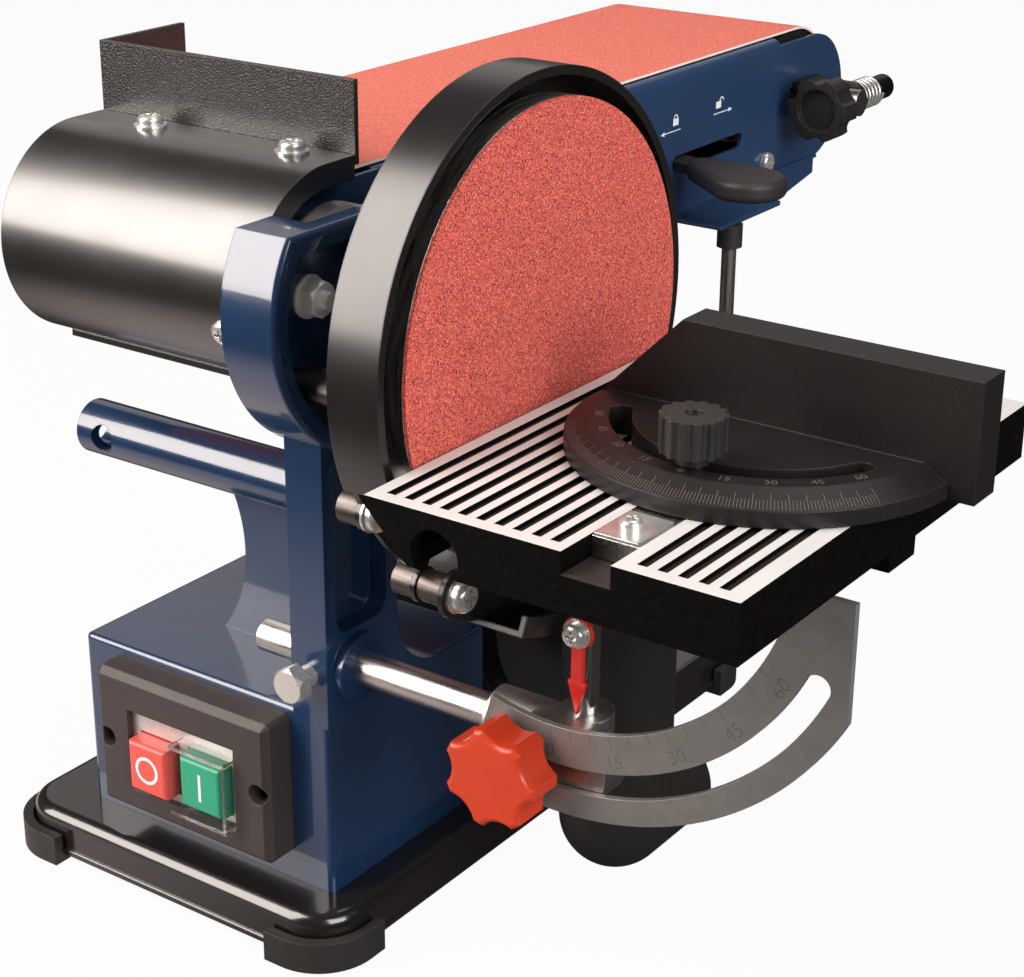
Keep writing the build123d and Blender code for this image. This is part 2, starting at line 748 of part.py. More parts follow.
def cast_post():
    """Upright with its pocket, the flare at its foot and the boss of the table bar."""
    foot = BOX_TOP - BOX_WALL
    post = box(POST_BACK_X, BOX_FRONT_X, BOX_FRONT_Y, POST_BACK_Y, foot, -HOUSING_R + 3 * RIM_T)
    flare = box(POST_BACK_X, BOX_FRONT_X, POST_BACK_Y, POST_BACK_Y + FLARE_R, foot, BOX_TOP + FLARE_R)
    flare -= rod_x(FLARE_R, POST_BACK_X - CUT, BOX_FRONT_X + CUT, POST_BACK_Y + FLARE_R, BOX_TOP + FLARE_R)
    mouth = patch(BOX_FRONT_Y + POCKET_RIB, POST_BACK_Y - POCKET_RIB, POCKET_LOW, POCKET_TOP)
    pocket = slab_x(fillet(mouth.vertices(), POCKET_RIB), BOX_FRONT_X - POCKET_D, BOX_FRONT_X + CUT)
    boss = rod_x(BAR_BOSS_R, BOX_FRONT_X - POCKET_D, BOX_FRONT_X + BAR_BOSS_H, BAR_Y, BAR_Z)
    return post + flare - pocket + boss


def cast_tube():
    """Spare socket for the table bar, on a gusset behind the upright."""
    end = POST_BACK_X - TUBE_L
    tube = rod_x(TUBE_R, end, POST_BACK_X + CUT, TUBE_Y, TUBE_Z)
    tube += rod_x(TUBE_ROOT_R, POST_BACK_X - CUT, BOX_FRONT_X - POCKET_D, TUBE_Y, TUBE_Z)
    top = (POST_BACK_X - GUSSET_TOP_L, TUBE_Z)
    mid = (POST_BACK_X - GUSSET_MID_L, (TUBE_Z + BOX_TOP) / 2)
    foot = (POST_BACK_X - GUSSET_FOOT_L, BOX_TOP - CUT)
    inside = Polyline(foot, (POST_BACK_X + CUT, BOX_TOP - CUT), (POST_BACK_X + CUT, TUBE_Z), top)
    web = make_face([ThreePointArc(top, mid, foot)] + list(inside.edges()))
    tube += slab_y(web, TUBE_Y - GUSSET_T / 2, TUBE_Y + GUSSET_T / 2)
    tube -= rod_x(TUBE_BORE, end - CUT, POST_BACK_X, TUBE_Y, TUBE_Z)
    return tube - rod_y(TUBE_HOLE_R, TUBE_Y - TUBE_R - CUT, TUBE_Y, end + TUBE_HOLE_IN, TUBE_Z)


def circle_points(radius, angles):
    return [(radius * math.cos(math.radians(a)), radius * math.sin(math.radians(a))) for a in angles]


def frame_casting():
    outer = housing_outline(HOUSING_R, HOUSING_FLAT)
    inner = housing_outline(HOUSING_R - RIM_T, HOUSING_FLAT - RIM_T)
    frame = slab_x(outer, HOUSING_REAR, HOUSING_FRONT)
    frame = fillet(frame.faces().sort_by(Axis.X)[-1].edges(), RIM_EDGE_R) + cast_post()
    frame -= slab_x(inner, WEB_FRONT, HOUSING_FRONT + HOUSING_W)
    frame -= slab_x(inner, HOUSING_REAR - CUT, WEB_REAR)
    frame -= box(HOUSING_REAR - CUT, WEB_FRONT - NOTCH_LIP, -NOTCH_HALF, NOTCH_HALF, HOUSING_FLAT - NOTCH_D,
                 HOUSING_FLAT + CUT)
    frame += rod_x(HUB_R, WEB_REAR, HUB_END)
    frame -= rod_x(BEARING_R + SEAT_FIT, HUB_END - BEARING_W, HUB_END + CUT)
    frame -= rod_x(BEARING_R - BEARING_RIM, WEB_REAR - CUT, HUB_END)
    frame -= rod_x(PIVOT_RING_R + SEAT_FIT, HOUSING_REAR - CUT, WEB_REAR)
    for y, z in circle_points(PIVOT_BOLT_CIRCLE, PIVOT_BOLT_ANGLES):
        frame -= rod_x(PIVOT_BOLT_R + SEAT_FIT, WEB_REAR - CUT, WEB_FRONT + CUT, y, z)
    frame += cast_box() + cast_tube()
    frame -= rod_x(BAR_R + RUN_FIT, POST_BACK_X - CUT, BOX_FRONT_X + BAR_BOSS_H + CUT, BAR_Y, BAR_Z)
    return frame - rod_y(LOCK_R + SEAT_FIT, BOX_FRONT_Y - CUT, BAR_Y, LOCK_X, BAR_Z)


def rod_lock_bolt():
    """Hex bolt that clamps the table bar in the upright."""
    seat = BOX_FRONT_Y - LOCK_OUT
    shank = rod_y(LOCK_R, seat, BAR_Y - BAR_R - SEAT_FIT, LOCK_X, BAR_Z)
    return shank + facing((LOCK_X, seat, BAR_Z), (0, -1, 0)) * hex_head(LOCK_HEAD_R, LOCK_HEAD_H)


# Spindle and drive

def bearing(x0):
    """Ball bearing drawn as one ring with its dished faces."""
    x1 = x0 + BEARING_W
    ring = rod_x(BEARING_R, x0, x1) - rod_x(SPINDLE_R + RUN_FIT, x0 - CUT, x1 + CUT)
    dish = Circle(BEARING_R - BEARING_RIM) - Circle(SPINDLE_R + BEARING_RIM)
    return ring - slab_x(dish, x0 - CUT, x0 + BEARING_DISH) - slab_x(dish, x1 - BEARING_DISH, x1 + CUT)


def front_bearing():
    return bearing(HUB_END - BEARING_W)


def rear_bearing():
    return bearing(ARM_FAR_INNER)


def spindle():
    return rod_x(SPINDLE_R, ARM_FAR_INNER + AIR, -GRIT_T - SPINDLE_NOSE)


def disc_plate():
    plate = rod_x(DISC_R, DISC_BACK, -GRIT_T) + rod_x(DISC_HUB_R, DISC_BACK - DISC_HUB_L, DISC_BACK)
    return plate - rod_x(SPINDLE_R + SEAT_FIT, DISC_BACK - DISC_HUB_L - CUT, -GRIT_T - SPINDLE_NOSE)


def sanding_disc():
    return rod_x(DISC_R, -GRIT_T, 0)


def drum_body(x0, x1, bore, y=0.0):
    """Belt drum, dished at both ends."""
    drum = rod_x(DRUM_R - BELT_AIR, x0, x1, y)
    drum -= rod_x(DRUM_R - DRUM_WALL, x0 - CUT, x0 + DRUM_DISH, y)
    drum -= rod_x(DRUM_R - DRUM_WALL, x1 - DRUM_DISH, x1 + CUT, y)
    return drum - rod_x(bore, x0, x1, y)


def drive_drum():
    return drum_body(BELT_FAR - DRUM_OVER, BELT_NEAR + DRUM_OVER, SPINDLE_R + SEAT_FIT)


def pulley(y, z, bore):
    rim = rod_x(PULLEY_R, PULLEY_X, PULLEY_END, y, z)
    for x in (PULLEY_X, PULLEY_END - PULLEY_LIP):
        rim += rod_x(PULLEY_R + PULLEY_RIM_H, x, x + PULLEY_LIP, y, z)
    return rim - rod_x(bore, PULLEY_X - CUT, PULLEY_END + CUT, y, z)


def spindle_pulley():
    return pulley(0, 0, SPINDLE_R + SEAT_FIT)


def motor_pulley():
    return pulley(MOTOR_Y, MOTOR_Z, MOTOR_SHAFT_R + SEAT_FIT)


def motor_shaft():
    return rod_x(MOTOR_SHAFT_R, MOTOR_FRONT - MOTOR_SHAFT_IN, PULLEY_END, MOTOR_Y, MOTOR_Z)


def drive_belt():
    """Belt round both pulleys, in its rest shape."""
    span = math.hypot(MOTOR_Y, MOTOR_Z)
    turn = math.degrees(math.atan2(MOTOR_Z, MOTOR_Y))
    inside = PULLEY_R + DRIVE_AIR
    loop = SlotCenterToCenter(span, 2 * (inside + DRIVE_T)) - SlotCenterToCenter(span, 2 * inside)
    loop = Pos(MOTOR_Y / 2, MOTOR_Z / 2) * Rot(0, 0, turn) * loop
    return slab_x(loop, PULLEY_X + PULLEY_LIP + AIR, PULLEY_END - PULLEY_LIP - AIR)


def motor_body():
    back = MOTOR_FRONT - MOTOR_L
    body = rod_x(MOTOR_R, back + MOTOR_SHIELD, MOTOR_FRONT - MOTOR_SHIELD, MOTOR_Y, MOTOR_Z)
    body += rod_x(MOTOR_R - MOTOR_RIM, back, MOTOR_FRONT, MOTOR_Y, MOTOR_Z)
    x0 = MOTOR_MID - MOTOR_FOOT_L / 2
    x1 = MOTOR_MID + MOTOR_FOOT_L / 2
    half = MOTOR_FOOT_W / 2
    neck = half - 2 * MOTOR_BOLT_IN
    foot_top = BASE_TOP + MOTOR_FOOT_T
    body += box(x0, x1, MOTOR_Y - half, MOTOR_Y + half, BASE_TOP, foot_top)
    body += box(x0, x1, MOTOR_Y - neck, MOTOR_Y + neck, BASE_TOP, MOTOR_Z)
    for x, y in motor_bolt_points():
        body -= rod_z(MOTOR_BOLT_R + SEAT_FIT, BASE_TOP - CUT, foot_top + CUT, x, y)
    bore_start = MOTOR_FRONT - MOTOR_SHAFT_IN - AIR
    return body - rod_x(MOTOR_SHAFT_R + RUN_FIT, bore_start, MOTOR_FRONT + CUT, MOTOR_Y, MOTOR_Z)


def motor_bolts():
    bolts = []
    seat = BASE_TOP + MOTOR_FOOT_T
    for x, y in motor_bolt_points():
        head = Pos(x, y, seat) * hex_head(MOTOR_BOLT_HEAD, MOTOR_BOLT_H)
        bolts.append(head + rod_z(MOTOR_BOLT_R, BASE_TOP - BASE_EDGE_R, seat, x, y))
    return bolts


# Swing pivot of the belt arm

def pivot_housing():
    """Bolted ring in the cast housing that the belt arm turns in."""
    seat = WEB_REAR - PIVOT_FLANGE_T
    ring = rod_x(PIVOT_RING_R, seat - PIVOT_RING_W, WEB_REAR)
    flange = housing_outline(PIVOT_FLANGE_R, HOUSING_FLAT - RIM_T - AIR)
    ring += slab_x(flange, seat, WEB_REAR)
    for y, z in circle_points(PIVOT_BOLT_CIRCLE, PIVOT_BOLT_ANGLES):
        ring -= rod_x(PIVOT_BOLT_R + SEAT_FIT, seat - CUT, WEB_REAR + CUT, y, z)
    return ring - rod_x(PIVOT_BORE_R + RUN_FIT, seat - PIVOT_RING_W - CUT, WEB_REAR + CUT)


def pivot_bolts():
    bolts = []
    seat = WEB_REAR - PIVOT_FLANGE_T
    for y, z in circle_points(PIVOT_BOLT_CIRCLE, PIVOT_BOLT_ANGLES):
        nut_seat = WEB_FRONT + WASHER_T
        bolt = rod_x(PIVOT_BOLT_R, seat, nut_seat + PIVOT_NUT_H + PIVOT_BOLT_OUT, y, z)
        bolt += rod_x(PIVOT_WASHER_R, WEB_FRONT, nut_seat, y, z)
        bolts.append(bolt + facing((nut_seat, y, z), (1, 0, 0)) * hex_head(PIVOT_NUT_R, PIVOT_NUT_H))
    return bolts


def pivot_spigot():
    """Turned spigot of the arm, held in the bolted ring."""
    spigot = rod_x(PIVOT_BORE_R, ARM_NEAR, WEB_REAR - AIR) + rod_x(PIVOT_SPIGOT_R, ARM_INNER, ARM_NEAR)
    return spigot - rod_x(SPINDLE_R + PIVOT_SHAFT_GAP, ARM_INNER - CUT, WEB_REAR + CUT)


# Belt arm

def arm_outline():
    """Side plate of the arm: round nose, straight sides and a round end."""
    plate = Pos(COVER_Y, COVER_Z) * Circle(ARM_NOSE_R) + patch(0, WEB_START, -ARM_DROP, WEB_TOP)
    plate += patch(WEB_START, WEB_STOP, -ARM_DROP, WEB_TOP - BEND_R)
    plate += patch(WEB_STOP, ARM_END_Y, -ARM_DROP, SHOULDER_Z)
    return plate + Pos(ARM_END_Y, (SHOULDER_Z - ARM_DROP) / 2) * Circle((SHOULDER_Z + ARM_DROP) / 2)


def arm_web():
    """Top of the arm under the belt, bent down into both side plates."""
    low = WEB_TOP - BEND_R
    outer = patch(ARM_FAR, ARM_NEAR, low, WEB_TOP)
    outer = fillet(outer.vertices().group_by(Axis.Y)[-1], BEND_R * ALMOST)
    inner = patch(ARM_FAR_INNER, ARM_INNER, low - CUT, WEB_TOP - SHEET)
    inner = fillet(inner.vertices().group_by(Axis.Y)[-1], (BEND_R - SHEET) * ALMOST)
    return slab_y(outer - inner, WEB_START, WEB_STOP)


def arm_bends():
    """Sheet folded outwards: the rest flange, the lower tab and the tab under the cover screw."""
    low = -ARM_DROP
    flange = box(ARM_INNER, ARM_NEAR + FLANGE_W, FLANGE_Y, FLANGE_Y + FLANGE_L, low - SHEET, low)
    tab_end = TAB_Y + TAB_L
    tab = polygon((TAB_Y, low + CUT), (TAB_Y, low - TAB_DROP), (tab_end, low - TAB_END_DROP),
                  (tab_end, low + CUT))
    tab = slab_x(tab, ARM_INNER, ARM_NEAR)
    lip = box(ARM_INNER, ARM_NEAR + TAB_LIP, TAB_Y, tab_end, low, low + TAB_LIP)
    ear_from = COVER_SCREW_ANGLE - COVER_EAR
    ear = sector(ARM_NOSE_R - SHEET, ARM_NOSE_R, ear_from, ear_from + 2 * COVER_EAR)
    ear = Pos(COVER_Y, COVER_Z) * ear
    return flange + tab + lip + slab_x(ear, COVER_SCREW_X - PAN_R, ARM_NEAR)


def arm_cuts():
    """Slots of the lever and the idler axle, with the holes of the spigot and the screws."""
    lever_slot = Pos((LEVER_SLOT_FROM + LEVER_SLOT_TO) / 2, LEVER_Z)
    lever_slot *= SlotOverall(LEVER_SLOT_TO - LEVER_SLOT_FROM, LEVER_SLOT_H)
    axle_h = 2 * (AXLE_R + AIR)
    axle_slot = Pos(IDLER_Y - TENSION_TRAVEL / 2, 0) * SlotOverall(TENSION_TRAVEL + axle_h, axle_h)
    cuts = slab_x(lever_slot, ARM_INNER - CUT, ARM_NEAR + CUT)
    cuts += slab_x(axle_slot, ARM_FAR - CUT, ARM_NEAR + CUT)
    cuts += rod_x(PIVOT_SPIGOT_R + SEAT_FIT, ARM_INNER - CUT, ARM_NEAR + CUT)
    cuts += rod_x(PAN_SHANK_R + SEAT_FIT, ARM_INNER - CUT, ARM_NEAR + CUT, ARM_SCREW_Y, ARM_SCREW_Z)
    return cuts + cover_screw_hole()


def arm_frame():
    plate = arm_outline()
    frame = slab_x(plate, ARM_INNER, ARM_NEAR) + slab_x(plate, ARM_FAR, ARM_FAR_INNER)
    frame += arm_web()
    frame += arm_bends()
    frame -= arm_cuts()
    frame += rod_x(BEARING_R + BEARING_RIM, ARM_FAR, ARM_FAR_INNER + BEARING_W)
    return frame - rod_x(BEARING_R + SEAT_FIT, ARM_FAR_INNER, ARM_FAR_INNER + BEARING_W + CUT)


def arm_screw():
    screw = pan_screw(PAN_SHANK_R, 2 * SHEET)
    return facing((ARM_NEAR, ARM_SCREW_Y, ARM_SCREW_Z), (1, 0, 0)) * screw


def sanding_belt():
    """Abrasive belt in its running shape."""
    loop = SlotCenterToCenter(IDLER_Y, 2 * (DRUM_R + BELT_T)) - SlotCenterToCenter(IDLER_Y, 2 * DRUM_R)
    return slab_x(Pos(IDLER_Y / 2, 0) * loop, BELT_FAR, BELT_NEAR)


def cover_screw_place(radius):
    """Frame on the cover's side with its Z pointing outwards."""
    y, z = circle_points(1, [COVER_SCREW_ANGLE])[0]
    return facing((COVER_SCREW_X, COVER_Y + radius * y, COVER_Z + radius * z), (0, y, z))


def cover_screw_hole():
    return cover_screw_place(COVER_R) * Cylinder(PAN_SHANK_R + SEAT_FIT, 6 * COVER_T)


def stop_screw_places():
    return [Pos(x, STOP_SCREW_Y, COVER_TOP) for x in STOP_SCREW_X]


def drum_cover():
    """Round cover of the drive drum with a flat top, an end wall and a bent lower lip."""
    middle = Pos(COVER_Y, COVER_Z)
    flat_end = STOP_Y - AIR
    low_y, low_z = circle_points(COVER_R, [COVER_TO_ANGLE])[0]
    low_y += COVER_Y
    low_z += COVER_Z
    wall_in = PIVOT_RING_R + COVER_CLEAR
    wall = middle * sector(wall_in, COVER_R, 90, COVER_TO_ANGLE)
    wall += patch(COVER_Y - CUT, flat_end, COVER_Z + wall_in, COVER_TOP)
    cover = slab_x(middle * sector(COVER_R - COVER_T, COVER_R, 90, COVER_TO_ANGLE), ARM_FAR, COVER_NEAR)
    cover += box(ARM_FAR, COVER_NEAR, COVER_Y - CUT, flat_end, COVER_TOP - COVER_T, COVER_TOP)
    cover += slab_x(wall, COVER_NEAR - COVER_T, COVER_NEAR)
    cover += box(ARM_FAR + COVER_LIP_IN, COVER_NEAR, low_y - COVER_LIP, low_y + CUT, low_z - COVER_T,
                 low_z + CUT)
    for place in stop_screw_places():
        cover -= place * Cylinder(PAN_SHANK_R + SEAT_FIT, 6 * COVER_T)
    return cover - cover_screw_hole()


def cover_screw():
    return cover_screw_place(COVER_R) * pan_screw(PAN_SHANK_R, 3 * COVER_T)


def work_stop():
    """Bent stop plate over the belt, its foot under the cover's flat, and one returned end."""
    low = STOP_SEAT - STOP_T
    stop = box(ARM_FAR_INNER + AIR, ARM_INNER - AIR, STOP_Y - STOP_FOOT, STOP_Y + STOP_T, low, STOP_SEAT)
    stop += box(ARM_FAR, COVER_NEAR, STOP_Y, STOP_Y + STOP_T, low, STOP_TOP)
    stop += box(ARM_FAR, ARM_FAR + STOP_T, STOP_Y, STOP_Y + STOP_RETURN, COVER_TOP + STOP_T, STOP_TOP)
    for place in stop_screw_places():
        stop -= place * Cylinder(PAN_SHANK_R + SEAT_FIT, 6 * STOP_T)
    return stop


def stop_screws():
    screw = pan_screw(PAN_SHANK_R, STOP_T + COVER_T + CUT, washer_r=WASHER_R)
    return [place * screw for place in stop_screw_places()]


# Idler, tension lever and tracking

def idler_carriage():
    """Sliding fork inside the arm that holds the idler axle, with the pusher that meets the cam."""
    half = STRAP_H / 2
    near = ARM_INNER - AIR
    far = ARM_FAR_INNER + AIR
    strap = patch(CROSSBAR_Y, IDLER_Y, -half, half) + Pos(IDLER_Y, 0) * Circle(half)
    fork = slab_x(strap, near - STRAP_T, near) + slab_x(strap, far, far + STRAP_T)
    fork += box(far, near, CROSSBAR_Y, CROSSBAR_Y + CROSSBAR_D, LEVER_Z - PUSHER_H / 2, half)
    pusher_x = LEVER_X - PUSHER_SET
    fork += box(pusher_x - PUSHER_W / 2, pusher_x + PUSHER_W / 2, PUSHER_Y, CROSSBAR_Y + CROSSBAR_D,
                LEVER_Z - PUSHER_H / 2, LEVER_Z + PUSHER_H / 2)
    return fork - rod_x(AXLE_R + SEAT_FIT, far - CUT, near + CUT, IDLER_Y)


def idler_axle():
    axle = rod_x(AXLE_R, ARM_FAR, TRACK_X + 2 * TRACK_SCREW_R + AXLE_END, IDLER_Y)
    return axle - rod_y(TRACK_SCREW_R + RUN_FIT, IDLER_Y - 2 * AXLE_R, IDLER_Y + 2 * AXLE_R, TRACK_X)


def idler_drum():
    return drum_body(BELT_FAR + IDLER_SHORT, BELT_NEAR - IDLER_SHORT, AXLE_R + RUN_FIT, IDLER_Y)


def lever_pin():
    hub_low = LEVER_Z - LEVER_HUB_H / 2 - AIR
    pin = rod_z(LEVER_PIN_R, hub_low, WEB_TOP - SHEET, LEVER_X, LEVER_Y)
    return pin + rod_z(LEVER_PIN_HEAD_R, hub_low - SHEET, hub_low, LEVER_X, LEVER_Y)


def tension_lever():
    """Quick-release lever: hub with its cam, flat arm and broad grip."""
    hub = Cylinder(LEVER_HUB_R, LEVER_HUB_H)
    cam_turn = Rot(0, 0, 90 + CAM_PHASE_ANGLE - LEVER_REST_ANGLE)
    cam = cam_turn * Pos(CAM_E, 0) * Cylinder(CAM_R, LEVER_T)
    arm_l = LEVER_GRIP_IN + LEVER_HUB_R
    arm = Pos(arm_l / 2, 0) * Box(arm_l, LEVER_ARM_W, LEVER_T)
    root = Pos(LEVER_GRIP_IN + LEVER_GRIP_ROOT, 0) * Circle(LEVER_GRIP_ROOT)
    tip = Pos(LEVER_GRIP_OUT - LEVER_GRIP_TIP, 0) * Circle(LEVER_GRIP_TIP)
    grip = slab_z(make_hull(root.edges() + tip.edges()), -LEVER_GRIP_T / 2, LEVER_GRIP_T / 2)
    grip = fillet(grip.edges().filter_by(Plane.XY), LEVER_GRIP_T * 0.35)
    lever = hub + cam + arm + grip - Cylinder(LEVER_PIN_R + RUN_FIT, 2 * LEVER_HUB_H)
    return Pos(LEVER_X, LEVER_Y, LEVER_Z) * Rot(0, 0, LEVER_REST_ANGLE) * lever


def tracking_bracket():
    """Bracket on the idler axle's outer end that the tracking screw pulls on."""
    near = ARM_NEAR + AIR
    half = TRACK_PLATE_H / 2
    outer = TRACK_X + TRACK_SEAT_H / 2
    front = patch(near, outer, -half, half)
    front = fillet(front.vertices().sort_by(Axis.X)[-2:], half * TRACK_ROUND)
    bracket = slab_y(front, TRACK_PLATE_Y, TRACK_PLATE_Y + TRACK_PLATE_T)
    bracket += box(near, near + TRACK_PLATE_T, TRACK_PLATE_Y, TRACK_SEAT_Y, -half, half)
    seat_half = TRACK_SEAT_H / 2
    seat_low = TRACK_SEAT_Y - TRACK_SEAT_T
    bracket += box(near, TRACK_X, seat_low, TRACK_SEAT_Y, -seat_half, seat_half)
    bracket += rod_y(seat_half, seat_low, TRACK_SEAT_Y, TRACK_X)
    bracket -= rod_x(AXLE_R + SEAT_FIT, near - CUT, outer + CUT, IDLER_Y)
    return bracket - rod_y(TRACK_SCREW_R + RUN_FIT, TRACK_PLATE_Y - CUT, TRACK_SEAT_Y + CUT, TRACK_X)


def tracking_knob():
    """Lobed knob with a hollow face."""
    lobes = lobed(TRACK_KNOB_R, TRACK_KNOB_LOBES, TRACK_KNOB_DIP, TRACK_KNOB_HOLLOW)
    lobes_end = TRACK_KNOB_Y + TRACK_KNOB_L - TRACK_COLLAR_L
    knob = slab_y(Pos(TRACK_X, 0) * lobes, TRACK_KNOB_Y, lobes_end)
    knob += rod_y(TRACK_COLLAR_R, TRACK_KNOB_Y, TRACK_PLATE_Y - AIR, TRACK_X)
    knob -= rod_y(TRACK_FACE_R, TRACK_KNOB_Y - CUT, TRACK_KNOB_Y + TRACK_FACE_D, TRACK_X)
    return knob - rod_y(TRACK_SCREW_R + SEAT_FIT, TRACK_PLATE_Y - TRACK_GRIP, TRACK_PLATE_Y + CUT, TRACK_X)


def tracking_screw():
    """Screw through the bracket and the axle, with its round end nut."""
    nut_end = TRACK_NUT_Y + TRACK_NUT_L
    nut = rod_y(TRACK_NUT_R, TRACK_NUT_Y, nut_end, TRACK_X)
    nut = chamfer(nut.edges().group_by(Axis.Y)[-1], TRACK_NUT_EDGE)
    return nut + rod_y(TRACK_SCREW_R, TRACK_PLATE_Y - TRACK_GRIP, TRACK_NUT_Y, TRACK_X)


def biarc(p0, t0, p1, t1):
    """Two arcs from a point and direction to another, smooth where they meet."""
    span = p1 - p0
    both = t0 + t1
    a = 2 * (t0.dot(t1) - 1)
    b = -2 * span.dot(both)
    c = span.dot(span)
    reach = (-b - math.sqrt(b * b - 4 * a * c)) / (2 * a)
    joint = (p0 + t0 * reach + p1 - t1 * reach) * 0.5
    return [TangentArc(p0, joint, tangent=t0), TangentArc(p1, joint, tangent=t1 * -1)]


def spring_point(turn):
    """Point and direction of the tracking spring's centre line, by turns from its start."""
    angle = 2 * math.pi * turn
    rise = TRACK_PITCH / (2 * math.pi)
    start = TRACK_SEAT_Y + SPRING_AIR + TRACK_WIRE / 2
    point = Vector(TRACK_X + TRACK_SPRING_R * math.cos(angle), start + TRACK_PITCH * turn,
                   TRACK_SPRING_R * math.sin(angle))
    along = Vector(-TRACK_SPRING_R * math.sin(angle), rise, TRACK_SPRING_R * math.cos(angle))
    return point, along.normalized()


def spring_gap(samples=60):
    """Least gap between the wire and itself, on points of neighbouring turns."""
    points = [spring_point(i / samples)[0] for i in range(samples * TRACK_TURNS + 1)]
    far = samples * 3 // 4
    gaps = [(q - p).length for i, p in enumerate(points) for q in points[i + far:i + 2 * samples]]
    return min(gaps) - TRACK_WIRE


def tracking_spring():
    """Compression spring on the tracking screw, one wire swept turn by turn."""
    arcs = []
    for i in range(4 * TRACK_TURNS):
        p0, t0 = spring_point(i / 4)
        p1, t1 = spring_point((i + 1) / 4)
        arcs += biarc(p0, t0, p1, t1)
    start, along = spring_point(0)
    print(f"tracking spring: least gap to itself {spring_gap():.2f} mm")
    return sweep(Plane(origin=start, z_dir=along) * Circle(TRACK_WIRE / 2), path=Wire(arcs))


# Arm rest

def rest_rod():
    return rod_z(REST_R, BASE_TOP - BASE_T - REST_NUT_H - REST_R, REST_TOP - REST_CAP_L / 2, REST_X, REST_Y)


def rest_cap():
    low = REST_TOP - REST_CAP_L
    cap = rod_z(REST_CAP_R, low, REST_TOP, REST_X, REST_Y)
    return cap - rod_z(REST_R + SEAT_FIT, low - CUT, low + REST_CAP_L / 2, REST_X, REST_Y)


def rest_nuts():
    nuts = []
    for z in (BASE_TOP, BASE_TOP - BASE_T - REST_NUT_H):
        nut = Pos(REST_X, REST_Y, z) * hex_head(REST_NUT_R, REST_NUT_H)
        nuts.append(nut - rod_z(REST_R + SEAT_FIT, z - CUT, z + REST_NUT_H + CUT, REST_X, REST_Y))
    return nuts


# Disc guard and dust hood

def guard():
    """Rim round the disc with its back wall and the strip that carries the hood."""
    rim = sector(GUARD_R - GUARD_T, GUARD_R, GUARD_FROM_ANGLE, GUARD_TO_ANGLE)
    rim = slab_x(rim, GUARD_REAR, GUARD_FRONT)
    back = sector(GUARD_HOLE, GUARD_R, GUARD_FROM_ANGLE, GUARD_TO_ANGLE)
    back += Circle(GUARD_POST_CIRCLE + GUARD_POST_R + CUT) - Circle(GUARD_HOLE)
    rim += slab_x(back, GUARD_REAR, GUARD_REAR + GUARD_BACK)
    strip = sector(EAR_IN, GUARD_R, GUARD_TO_ANGLE - EAR_LAP, HOOD_FROM_ANGLE)
    for y, z in STUD_AT:
        strip += Pos(y, z) * Circle(EAR_R)
    rim += slab_x(strip, EAR_REAR, EAR_REAR + EAR_T)
    for y, z in STUD_AT:
        rim -= rod_x(STUD_SCREW_R + SEAT_FIT, EAR_REAR - CUT, EAR_REAR + EAR_T + CUT, y, z)
    return rim


def guard_spacers():
    """Sleeves on the guard's strip, and the posts that hold the guard on the casting."""
    sleeves = []
    spans = [(y, z, EAR_REAR - STUD_REAR, EAR_REAR) for y, z in STUD_AT]
    spans.append((*HOOD_STUD, EAR_REAR + EAR_T, LUG_X))
    for y, z, x0, x1 in spans:
        bore = rod_x(STUD_SCREW_R + SEAT_FIT, x0 - CUT, x1 + CUT, y, z)
        sleeves.append(rod_x(STUD_R, x0, x1, y, z) - bore)
    for y, z in circle_points(GUARD_POST_CIRCLE, GUARD_POST_ANGLES):
        sleeves.append(rod_x(GUARD_POST_R, WEB_FRONT, GUARD_REAR, y, z))
    return sleeves


def guard_screws():
    """One screw in the guard's own ear and one through the lug of the hood."""
    screws = []
    for seat, (y, z) in zip((EAR_REAR + EAR_T, LUG_X + LUG_T), STUD_AT):
        length = seat - EAR_REAR + STUD_REAR - CUT
        screw = pan_screw(STUD_SCREW_R, length, STUD_HEAD_R, STUD_HEAD_H, STUD_WASHER_R)
        screws.append(facing((seat, y, z), (1, 0, 0)) * screw)
    return screws


def dust_hood():
    """Trough under the disc, hung on a crescent plate, with its pipe and outlet."""
    plate = sector(HOOD_IN, HOOD_R, HOOD_FROM_ANGLE, HOOD_TO_ANGLE) + Pos(*HOOD_STUD) * Circle(LUG_R)
    hood = slab_x(plate, LUG_X, LUG_X + LUG_T)
    shell = sector(HOOD_R - HOOD_T, HOOD_R, TROUGH_FROM_ANGLE, HOOD_TO_ANGLE)
    hood += slab_x(shell, TROUGH_REAR, TROUGH_FRONT)
    lip = sector(HOOD_R - TROUGH_LIP, HOOD_R, TROUGH_FROM_ANGLE, HOOD_TO_ANGLE)
    hood += slab_x(lip, TROUGH_FRONT - HOOD_T, TROUGH_FRONT)
    pipe = rod_z(PIPE_R, PIPE_ELBOW, -HOOD_R / 2, PIPE_X, PIPE_Y)
    pipe -= rod_x(HOOD_R - HOOD_T, PIPE_X - 2 * PIPE_R, PIPE_X + 2 * PIPE_R)
    pipe += Pos(PIPE_X, PIPE_Y, PIPE_ELBOW) * Sphere(PIPE_R)
    pipe += rod_y(PIPE_R, PIPE_Y, PIPE_Y + PIPE_OUT, PIPE_X, PIPE_ELBOW)
    bore_r = PIPE_R - PIPE_T
    bore = rod_z(bore_r, PIPE_ELBOW, -HOOD_R / 2, PIPE_X, PIPE_Y)
    bore += Pos(PIPE_X, PIPE_Y, PIPE_ELBOW) * Sphere(bore_r)
    bore += rod_y(bore_r, PIPE_Y, PIPE_Y + PIPE_OUT + CUT, PIPE_X, PIPE_ELBOW)
    hood = hood + pipe - bore
    return hood - rod_x(STUD_SCREW_R + SEAT_FIT, LUG_X - CUT, LUG_X + LUG_T + CUT, *HOOD_STUD)


# Switch

